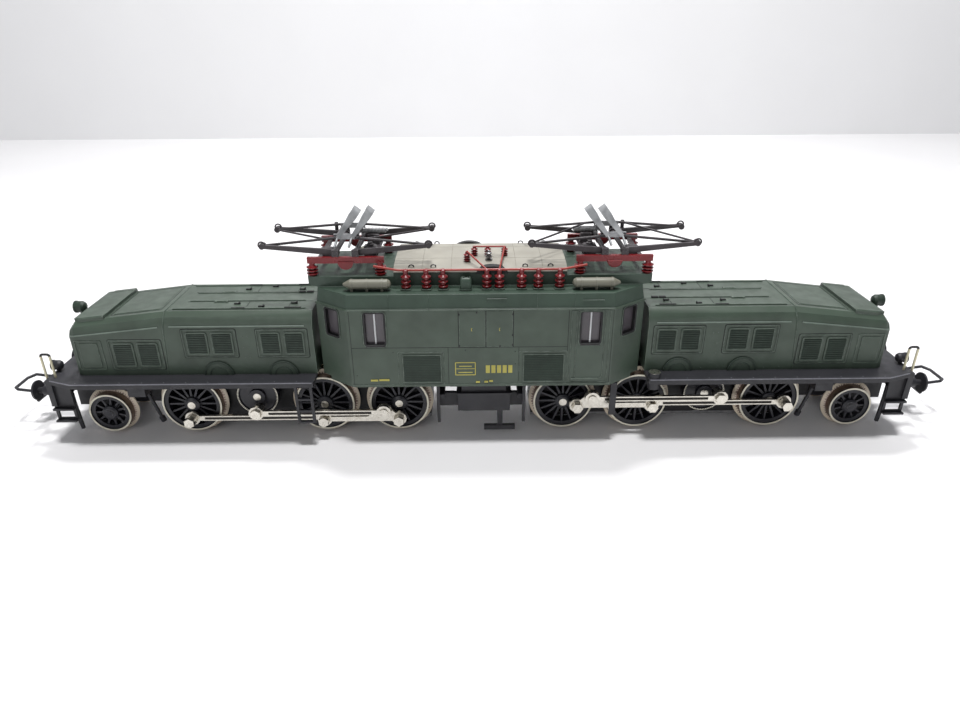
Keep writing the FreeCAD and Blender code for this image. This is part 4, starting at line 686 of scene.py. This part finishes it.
rivets = Shape().on(**near_wall(hood_side))
for x in (57.9, 59.2):
    for z in (20.6, 23.4, 26.2, 29.0):
        rivets.rivet(x, z, 0.12)
for x in [44 + 4.0 * i for i in range(9)]:
    rivets.rivet(x, deck_top + 0.7, 0.11)
make_pair("hood_rivets", rivets.both_sides(), "bogie", GREEN)

# ---------------------------------------------------------------- headlamps
# Each lamp's front, its place across and up, and its radius.
LAMPS = ((105.3, 0, 32.7, 1.6), (110.0, -LAMP_OUT, 20.2, 1.35), (110.0, LAMP_OUT, 20.2, 1.35))
lenses, bezels = Shape(), Shape()
for x, y, z, radius in LAMPS:
    lenses.on((x - 0.3, y, z), (0, 1, 0), (0, 0, 1))
    lenses.lathe([(radius * 0.74, -0.02), (radius * 0.74, 0.08), (radius * 0.6, 0.17), (radius * 0.35, 0.23),
                  (radius * 0.05, 0.26)], steps=32)
    bezels.on((x - 0.3, y, z), (0, 1, 0), (0, 0, 1))
    profile = [(radius * 0.98, -0.1), (radius * 0.98, 0.22), (radius * 0.88, 0.29), (radius * 0.78, 0.22),
               (radius * 0.78, -0.1)]
    bezels.skin([[(r * p, r * q, c) for p, q in circle(32)] for r, c in profile], closed=True)
make_pair("lamp_lenses", lenses, "bogie", LENS)
make_pair("lamp_bezels", bezels, "bogie", STEEL)

# ---------------------------------------------------------------- body sides
GRILLES = ((-18.9, -10.0), (10.6, 20.1))
GRILLE_LOW, GRILLE_HIGH = sill + 1.5, sill + 8.5
slats = Shape().on(**near_wall(side_wall))
borders = Shape().on(**near_wall(side_wall))
for a0, a1 in GRILLES:
    slats.louvres((a0, a1), (GRILLE_LOW, GRILLE_HIGH), 15, 0.24)
    borders.ring(rounded(a0 - 0.35, a1 + 0.35, GRILLE_LOW - 0.35, GRILLE_HIGH + 0.35, 0.3), 0.3, FOOT, 0.26)
    borders.ring(rounded(a0 - 1.4, a1 + 1.0, GRILLE_LOW - 0.9, GRILLE_HIGH + 1.1, 0.3), 0.16, FOOT, 0.1)
make("side_grille_slats", slats.all_round(), "body", LOUVRE_GREEN)
make("side_grille_frames", borders.all_round(), "body", GREEN)

seams = Shape().on(**near_wall(side_wall))
SEAM_Z, SEAM_LOW, SEAM_HIGH = sill + 10.7, sill + 0.6, eave - 0.5
SIDE_START, HATCH_START, HATCH_MIDDLE, HATCH_END, DOOR_START, SIDE_END = -31.4, -5.4, 1.2, 7.8, 21.0, 31.6
for a0, a1 in ((SIDE_START, HATCH_START), (HATCH_END, DOOR_START)):
    seams.bar((a0, SEAM_Z), (a1, SEAM_Z), FINE_WIDE, THIN_FOOT, 0.04)
for a in (SIDE_START, DOOR_START, SIDE_END):
    seams.bar((a, SEAM_LOW), (a, SEAM_HIGH), FINE_WIDE, THIN_FOOT, 0.04)
for a in (HATCH_START, HATCH_MIDDLE, HATCH_END):
    seams.bar((a, SEAM_Z), (a, SEAM_HIGH), SEAM_WIDE, THIN_FOOT, 0.04)
for a in (-8.0, 9.2):
    seams.bar((a, SEAM_LOW), (a, SEAM_Z), 0.1, THIN_FOOT, 0.04)
seams.bar((HATCH_START, SEAM_Z), (HATCH_END, SEAM_Z), SEAM_WIDE, THIN_FOOT, 0.04)
make("side_seams", seams.all_round(), "body", LINE)

doors = Shape().on(**near_wall(side_wall))
doors.ring(rounded(21.6, 31.0, sill + 0.9, eave - 0.5, 0.4), 0.22, FOOT, 0.14)
doors.ring(rounded(22.9, 29.9, sill + 2.0, eave - 0.75, 0.9, 6), 0.2, FOOT, 0.16)
doors.block((22.2, 28.9), (sill + 1.75, sill + 2.15), (FOOT, 0.28), 0.1)
doors.block((-5.2, 1.05), (SEAM_Z + 0.1, eave - 0.55), (FOOT, 0.07), 0.03, 0.1)
doors.block((1.35, 7.6), (SEAM_Z + 0.1, eave - 0.55), (FOOT, 0.07), 0.03, 0.1)
doors.block((-31.8, 31.8), (sill + 0.05, sill + 0.75), (FOOT, 0.14), 0.05)
make("side_doors", doors.all_round(), "body", GREEN)

LATCHES = ((-5.2, 28.4), (-5.2, 36.6), (7.6, 28.6), (7.6, 31.2), (7.6, 36.6), (4.6, 28.3), (-1.0, 37.1))
SIDE_RIVETS = ((-9.3, 26.6), (-9.3, 22.4), (-21.4, 26.8), (-30.6, 20.5), (-3.8, 27.2), (8.3, 26.8),
               (8.4, 23.4), (21.6, 22.4))
fittings = Shape().on(**near_wall(side_wall))
for a, b in LATCHES:
    fittings.block((a - 0.14, a + 0.14), (b - 0.22, b + 0.22), (THIN_FOOT, 0.16), 0.05)
for a, b in SIDE_RIVETS:
    fittings.rivet(a, b, 0.13)
make("side_fittings", fittings.all_round(), "body", GASKET)


def window_ring(shape, grow, width, c0, c1, span, low=WINDOW_LOW):
    """A border round a window of that span, its outline moved outwards by grow."""
    outline = rounded(span[0] - grow, span[1] + grow, low - grow, WINDOW_HIGH + grow, 0.7 + grow, 5)
    shape.ring(outline, width, c0, c1)


mouldings, gaskets, linings, bars = Shape(), Shape(), Shape(), Shape()
for shape in (mouldings, gaskets, linings, bars):
    shape.on(**near_wall(side_wall))
for span in WINDOWS:
    window_ring(mouldings, 0.42, 0.24, FOOT, 0.2, span)
    window_ring(gaskets, 0.16, 0.42, -0.7, 0.12, span)
    middle = sum(span) / 2
    bars.block((middle - 0.2, middle + 0.2), (WINDOW_LOW + 0.1, WINDOW_HIGH - 0.3), (-0.93, -0.6), 0.08)
    linings.block((span[0] - 1.0, span[1] + 1.0), (WINDOW_LOW - 1, WINDOW_HIGH + 0.8), (-3.2, -2.8), 0.1)
    gaskets.block((span[0] + 0.1, span[1] - 0.1), (WINDOW_LOW - 0.35, WINDOW_LOW + 0.2), (-0.3, 0.24), 0.1)
for shape in (mouldings, gaskets, linings, bars):
    shape.all_round()

# The four slanted corners of the cab ends, between the side wall and the end wall.
WALL_END, BODY_END, END_HALF = 32.0, 40.1, 11.0
CORNER_X, CORNER_Y = (WALL_END + BODY_END) / 2, (side_wall + END_HALF) / 2
CORNER_LOW, CORNER_SPAN = WINDOW_LOW + 1.4, (-2.3, 2.3)
for side in (-1, 1):
    for end in (-1, 1):
        slant = Vector((end * (BODY_END - WALL_END), -side * (side_wall - END_HALF), 0))
        along = slant * (1 if end * side < 0 else -1)
        for shape in (mouldings, gaskets, linings):
            shape.on((end * CORNER_X, side * CORNER_Y, 0), along, (0, 0, 1))
        window_ring(mouldings, 0.4, 0.24, FOOT, 0.2, CORNER_SPAN, CORNER_LOW)
        window_ring(gaskets, 0.14, 0.44, -0.7, 0.14, CORNER_SPAN, CORNER_LOW)
        linings.block((-3.1, 3.1), (CORNER_LOW - 1, WINDOW_HIGH + 0.8), (-3.2, -2.8), 0.1)
make("window_mouldings", mouldings, "body", GREEN)
make("window_gaskets", gaskets, "body", GASKET)
make("cab_linings", linings, "body", CAB)
make("window_bars", bars, "body", WHITE)

# Gutter joints, the roof band's seams, and the drip rails over the doors.
GUTTER_RUNS = ((-31.6, -21.95), (-21.75, -12.4), (-12.2, -5.5), (-5.3, 7.7), (7.9, 13.3), (13.5, 22.2),
               (22.4, 31.6))
# The gutter strips take the lighter green of a painted highlight along the eave.
gutter = Shape().on(**near_wall(side_wall + 0.1))
for a0, a1 in GUTTER_RUNS:
    gutter.block((a0, a1), (eave - 0.28, eave - 0.02), (FOOT, 0.19), 0.06)
make("roof_gutter", gutter.all_round(), "body", HIGHLIGHT_GREEN)

band_foot = Vector((0, -(side_wall - 0.2), eave))
band_top = Vector((0, -(side_wall - 0.7), roof_edge))
rails = Shape().on(band_foot, (1, 0, 0), band_top - band_foot)
for a in (-21.85, -12.3, 13.4, 22.3):
    rails.bar((a, 0), (a, 3.4), SEAM_WIDE, THIN_FOOT, 0.05)
rails.block((24.2, 29.2), (1.7, 2.0), (FOOT, 0.24), 0.08)
rails.block((1.4, 6.2), (2.2, 2.45), (FOOT, 0.22), 0.06)
make("roof_band_rails", rails.all_round(), "body", ROOF_GREEN)

# Plain bars and boxes where the sides carry lettering, and hooks at the hatch.
CHARACTERS, CHARACTER_PITCH = 5, 1.38
DASHES = ((-27.3, -25.5, 1.9), (-25.2, -22.7, 2.0), (-1.3, -0.3, 1.25), (0.8, 1.7, 1.3), (2.0, 2.9, 1.5))
marks = Shape().on(**near_wall(side_wall))
marks.ring(rounded(-6.4, -1.3, sill + 3.1, sill + 6.7, 0.2), 0.24, -0.02, 0.05, 0.01)
marks.bar((-6.2, sill + 4.9), (-1.5, sill + 4.9), 0.16, -0.02, 0.05)
for b, a0, a1 in ((5.6, -5.4, -2.3), (3.9, -5.6, -2.1)):
    marks.block((a0, a1), (sill + b - 0.12, sill + b + 0.12), (-0.02, 0.05), 0.01)
for i in range(CHARACTERS):
    left = i * CHARACTER_PITCH
    marks.block((1.15 + left, 2.15 + left), (sill + 3.7, sill + 5.8), (-0.02, 0.05), 0.01)
for a0, a1, b in DASHES:
    marks.block((a0, a1), (sill + b - 0.22, sill + b + 0.22), (0.0, 0.2), 0.01)
for a in (-2.0, 4.7):
    arc = [Vector((a + 0.3 * math.cos(t), 32.7 + 0.42 * math.sin(t))) for t in
           (math.radians(110 + 140 * i / 6) for i in range(7))]
    for one, two in zip(arc, arc[1:]):
        marks.bar(one, two, 0.16, 0.0, 0.12)
make("side_marks", marks.all_round(), "body", YELLOW)

# ---------------------------------------------------------------- roof
cover_side, cover_end = cover_high.y - 0.3, cover_high.x
dome = Shape().on(**flat_top(height=roof_edge))
dome_base = rounded(-4.9, -2.1, -14.1, -11.8, 0.5)
dome.skin([[(*p, h) for p in offset(dome_base, grow)] for grow, h in
           ((0.15, -0.1), (0.15, 0.25), (0, 0.3), (-0.02, 2.2), (-0.15, 2.7), (-0.45, 3.0), (-0.85, 3.1))])
make("roof_domes", dome.all_round(), "body", ROOF_GREEN)

ROW, ROW_OUT, CAP_Z = (-17.8, -12.9, -8.9, 1.5, 4.5, 9.8, 13.8, 18.9), 12.6, 46.0
bases = Shape().on(**flat_top(height=roof_edge))
for x in ROW:
    bases.block((x - 1.25, x + 1.25), (-13.75, -11.45), (FOOT, 0.3), 0.08, 0.2)
make("insulator_bases", bases, "body", ROOF_GREEN)


def cover_height(y):
    """The height of the arched roof cover at a distance y from its middle."""
    spring = cover_low.z + ARCH_SPRING
    return spring + (cover_high.z - spring) * math.sqrt(max(0.0, 1 - (y / cover_high.y) ** 2))


lines = Shape().on()
ARCH = [-10.2 + 20.4 * i / 16 for i in range(17)]
for x in (-14.0, -7.0, 8.6, 15.0):
    lines.pipe([(x, y, cover_height(y) - 0.03) for y in ARCH], 0.05, 6)
for y in (-4.6, 4.6):
    lines.pipe([(x, y, cover_height(y) - 0.03) for x in (-cover_end + 0.4, 0, cover_end - 0.4)], 0.05, 6)
make("cover_seams", lines, "body", SEAM)

LUG_OUT = 9.6
LUG_LINE = ((-0.6, -0.1), (-0.5, 0.45), (0, 0.62), (0.5, 0.45), (0.6, -0.1))
lugs = Shape().on()
for x in (-16.6, -11.3, 10.8, 16.9):
    for y in (-LUG_OUT, LUG_OUT):
        lugs.pipe([(x + along, y, cover_height(y) + up) for along, up in LUG_LINE], 0.16)
make("cover_lugs", lugs, "body", GASKET)

flange = Shape().on()
for side in (-1, 1):
    flange.on((0, side * (cover_high.y - 0.2), cover_low.z), (1, 0, 0), (0, 0, 1))
    flange.block((-cover_end + 0.1, cover_end - 0.1), (0.02, 0.4), (-0.28, 0.28), 0.08)
make("cover_flanges", flange, "body", PALE)

# The vent is a solid dark half-disc: painted shade standing for the shaded opening under the fan.
vent = Shape().on((2.8, -cover_side - 0.35, cover_low.z - 0.3), (1, 0, 0), (0, 0, 1))
arc = [Vector((3.9 * math.cos(t), 1.9 * math.sin(t))) for t in (math.pi * i / 20 for i in range(21))]
vent.slab(arc, -1.6, 0.1, 0.1)
make("roof_vent", vent.all_round(), "body", GASKET)

POST_IN = 5.9
post = Shape().on(**flat_top(2.1, cover_height(POST_IN) - 0.2, -POST_IN))
post.lathe([(0.9, 0), (0.9, 0.4), (0.45, 0.5), (0.45, 0.8), (0.85, 0.95), (0.85, 1.25), (0.5, 1.35),
            (0.5, 1.6), (0.75, 1.75), (0.75, 2.0), (0.4, 2.15), (0.3, 2.5), (0.1, 2.6)])
make("earthing_post", post, "body", STEEL)

caps = Shape()
for x in ROW:
    caps.on(**flat_top(x, CAP_Z, -ROW_OUT))
    caps.lathe([(0.55, -0.1), (0.72, 0.0), (0.72, 0.3), (0.5, 0.45)], steps=16)
make("insulator_caps", caps, "body", RED)

TANK_OUT, TANK_Z = 13.4, 43.1
bands = Shape()
for x in (-27.0, 27.6):
    bands.on((x, -TANK_OUT, TANK_Z), (0, 1, 0), (0, 0, 1))
    for a in (-3.6, 0.0, 3.6):
        bands.lathe([(1.0, a - 0.2), (1.3, a - 0.18), (1.3, a + 0.18), (1.0, a + 0.2)], steps=28)
make("tank_bands", bands.all_round(), "body", TANK)

# ---------------------------------------------------------------- pantographs
SPRINGS_OUT, SPRING_Z, SPRING_START, SPRING_END = (5.0, 6.1), SHAFT_Z + 1.6, 0.6, 8.8
# Small blocks on the pantograph's base: middle, from and to across it, foot, top.
BLOCKS = ((-5.6, -6.4, -4.2, 47.6, 50.2), (-5.2, 3.2, 4.2, 47.6, 50.4), (4.6, -6.2, -4.8, 47.6, 49.8),
          (5.0, 8.7, 9.3, 48.4, 52.2), (2.2, 9.5, 10.0, 48.0, 51.8))
for end, way in (("rear", 1), ("front", -1)):
    springs = Shape().on()
    for y in SPRINGS_OUT:
        start_x, end_x = way * (panto_x - SPRING_START), way * (panto_x - SPRING_END)
        springs.coil((start_x, y, SPRING_Z), (end_x, y, SPRING_Z), 0.45, 0.12, 20)
    make(f"panto_springs_{end}", springs, "body", SPRING)
    fittings = Shape().on(**flat_top(way * panto_x))
    for x, y0, y1, foot, top in BLOCKS:
        middle = way * x
        half = 0.45 if y1 - y0 < 0.7 else 1.5
        fittings.block((middle - half, middle + half), (y0, y1), (foot, top), 0.15, 0.12)
    fittings.on(**flat_top(way * (panto_x - 5.6), 50.0, -5.3))
    fittings.lathe([(0.9, 0), (0.9, 0.5), (0.6, 0.7), (0.6, 1.0), (0.2, 1.1)], steps=16)
    make(f"panto_fittings_{end}", fittings, "body", ARM)

BOSS_Z, BOSS_RADIUS = 47.4, 1.9
half_disc = [Vector((BOSS_RADIUS * math.cos(t), BOSS_RADIUS * math.sin(t))) for t in
             (math.radians(180 + 15 * i) for i in range(13))]
boss = Shape()
for side in (-1, 1):
    boss.on((panto_x, side * (BEAM_OUT + 0.3), BOSS_Z), (1, 0, 0), (0, 0, 1))
    boss.slab(half_disc, -0.5, 0.5, 0.15)
make_pair("panto_beam_boss", boss, "body", RED)

# A curl of wire over the knee at the end of each lower arm.
CURL_RADIUS, CURL_UP = 0.8, 0.35
turns = [math.radians(-60 + 270 * i / 14) for i in range(15)]
for node, way in (("lower_arm_outer", 1), ("lower_arm_inner", -1)):
    curls = Shape().on()
    hinge = Vector((panto_x + way * PIVOT_HALF, 0, SHAFT_Z))
    knee = hinge + ARM_LENGTH * Vector((way * math.cos(ARM_LEAN), 0, math.sin(ARM_LEAN)))
    for y in (-ARM_OUT, ARM_OUT):
        curls.pipe([knee + Vector((-way * CURL_RADIUS * math.cos(t), y, CURL_UP + CURL_RADIUS * math.sin(t)))
                    for t in turns], 0.2)
    make_pair(node + "_curls", curls, node, ARM)

# ---------------------------------------------------------------- footplate and frames
# The pale line along the deck's side, which draws in towards the nose: a painted highlight, partly wear.
DRAW_X, DRAW_END = 102.0, (108.2, -14.62)
RIVET_START, RIVET_PITCH, DECK_RIVETS, RIVET_LINE = 46, 5.5, 11, -16.2
edge_plan = [(deck_inner + 0.3, -deck_side + 0.02), (DRAW_X, -deck_side + 0.02), DRAW_END]
deck_edge = Shape().on()
deck_edge.pipe([(x, y, deck_top - 0.06) for x, y in edge_plan], 0.14, 6)
make_pair("deck_edge", deck_edge.both_sides(), "bogie", EDGE)

# The deck's rivets share the edge line's painted highlight.
deck_rivets = Shape().on(**flat_top(height=deck_top))
for i in range(DECK_RIVETS):
    deck_rivets.rivet(RIVET_START + RIVET_PITCH * i, RIVET_LINE, 0.14)
make_pair("deck_rivets", deck_rivets.both_sides(), "bogie", EDGE)

# ---------------------------------------------------------------- floor, wall, light and camera
CAMERA_AT, CAMERA_LENS, SENSOR_WIDTH = Vector((-1.2, -170.3, 100.0)) * MM, 26.2, 36
YAW, PITCH, ROLL = (math.radians(v) for v in (-0.35, 26.2, -0.35))
right = Vector((math.cos(YAW), math.sin(YAW), 0))
ahead = Vector((-math.sin(YAW) * math.cos(PITCH), math.cos(YAW) * math.cos(PITCH), -math.sin(PITCH)))
upward = right.cross(ahead)
across = right * math.cos(ROLL) + upward * math.sin(ROLL)
above = upward * math.cos(ROLL) - right * math.sin(ROLL)
camera = bpy.data.objects.new("camera", bpy.data.cameras.new("camera"))
camera.data.sensor_width, camera.data.lens = SENSOR_WIDTH, CAMERA_LENS
camera.data.clip_start, camera.data.clip_end = 0.005, 20
camera.matrix_world = Matrix.Translation(CAMERA_AT) @ Matrix((across, above, -ahead)).transposed().to_4x4()
bpy.context.scene.collection.objects.link(camera)
bpy.context.scene.camera = camera


def sheet(name, corners, colour, rough):
    """A flat part of the surroundings."""
    mesh = bpy.data.meshes.new(name)
    mesh.from_pydata(corners, [], [(0, 1, 2, 3)])
    f = Finish(name)
    shade = f.mix(f.remap(f.noise(60, 3), 0.3, 0.7), srgb(*colour), srgb(*(c - 2 for c in colour)))
    mesh.materials.append(f.set(shade, f.remap(f.noise(20, 2), 0.3, 0.7, rough, rough + 0.06)))
    made = bpy.data.objects.new(name, mesh)
    bpy.context.scene.collection.objects.link(made)


TABLE_BACK, REACH, WALL_TOP = 0.5, 3.0, 2.0  # metres, as are the lights below
sheet("table", [(-REACH, -REACH, 0), (REACH, -REACH, 0), (REACH, TABLE_BACK, 0), (-REACH, TABLE_BACK, 0)],
      (246, 245, 246), 0.5)
sheet("wall", [(-REACH, TABLE_BACK, 0), (REACH, TABLE_BACK, 0), (REACH, TABLE_BACK, WALL_TOP),
               (-REACH, TABLE_BACK, WALL_TOP)], (240, 240, 241), 0.7)


def area_light(name, place, aim, size, power):
    light = bpy.data.lights.new(name, "AREA")
    light.shape, light.size, light.size_y, light.energy = "RECTANGLE", *size, power
    lamp = bpy.data.objects.new(name, light)
    lamp.location = place
    lamp.rotation_euler = (Vector(aim) - Vector(place)).to_track_quat("-Z", "Y").to_euler()
    bpy.context.scene.collection.objects.link(lamp)


# Name, place, the point it faces, size, and watts.
LIGHTS = (("overhead", (0.03, -0.09, 0.8), (0, 0, 0), (0.12, 0.1), 4.4),
          ("behind", (0.0, 0.25, 0.76), (0, 0, 0), (0.1, 0.1), 3.2),
          ("window", (-0.35, -0.75, 0.45), (0, 0, 0.02), (0.5, 0.4), 1.0))
WORLD_COLOUR, WORLD_STRENGTH = (232, 234, 238), 0.25
for light_row in LIGHTS:
    area_light(*light_row)
world = bpy.data.worlds.new("studio")
world.use_nodes = True
world.node_tree.nodes["Background"].inputs[0].default_value = srgb(*WORLD_COLOUR)
world.node_tree.nodes["Background"].inputs[1].default_value = WORLD_STRENGTH
bpy.context.scene.world = world
bpy.context.scene.view_settings.view_transform = "Standard"
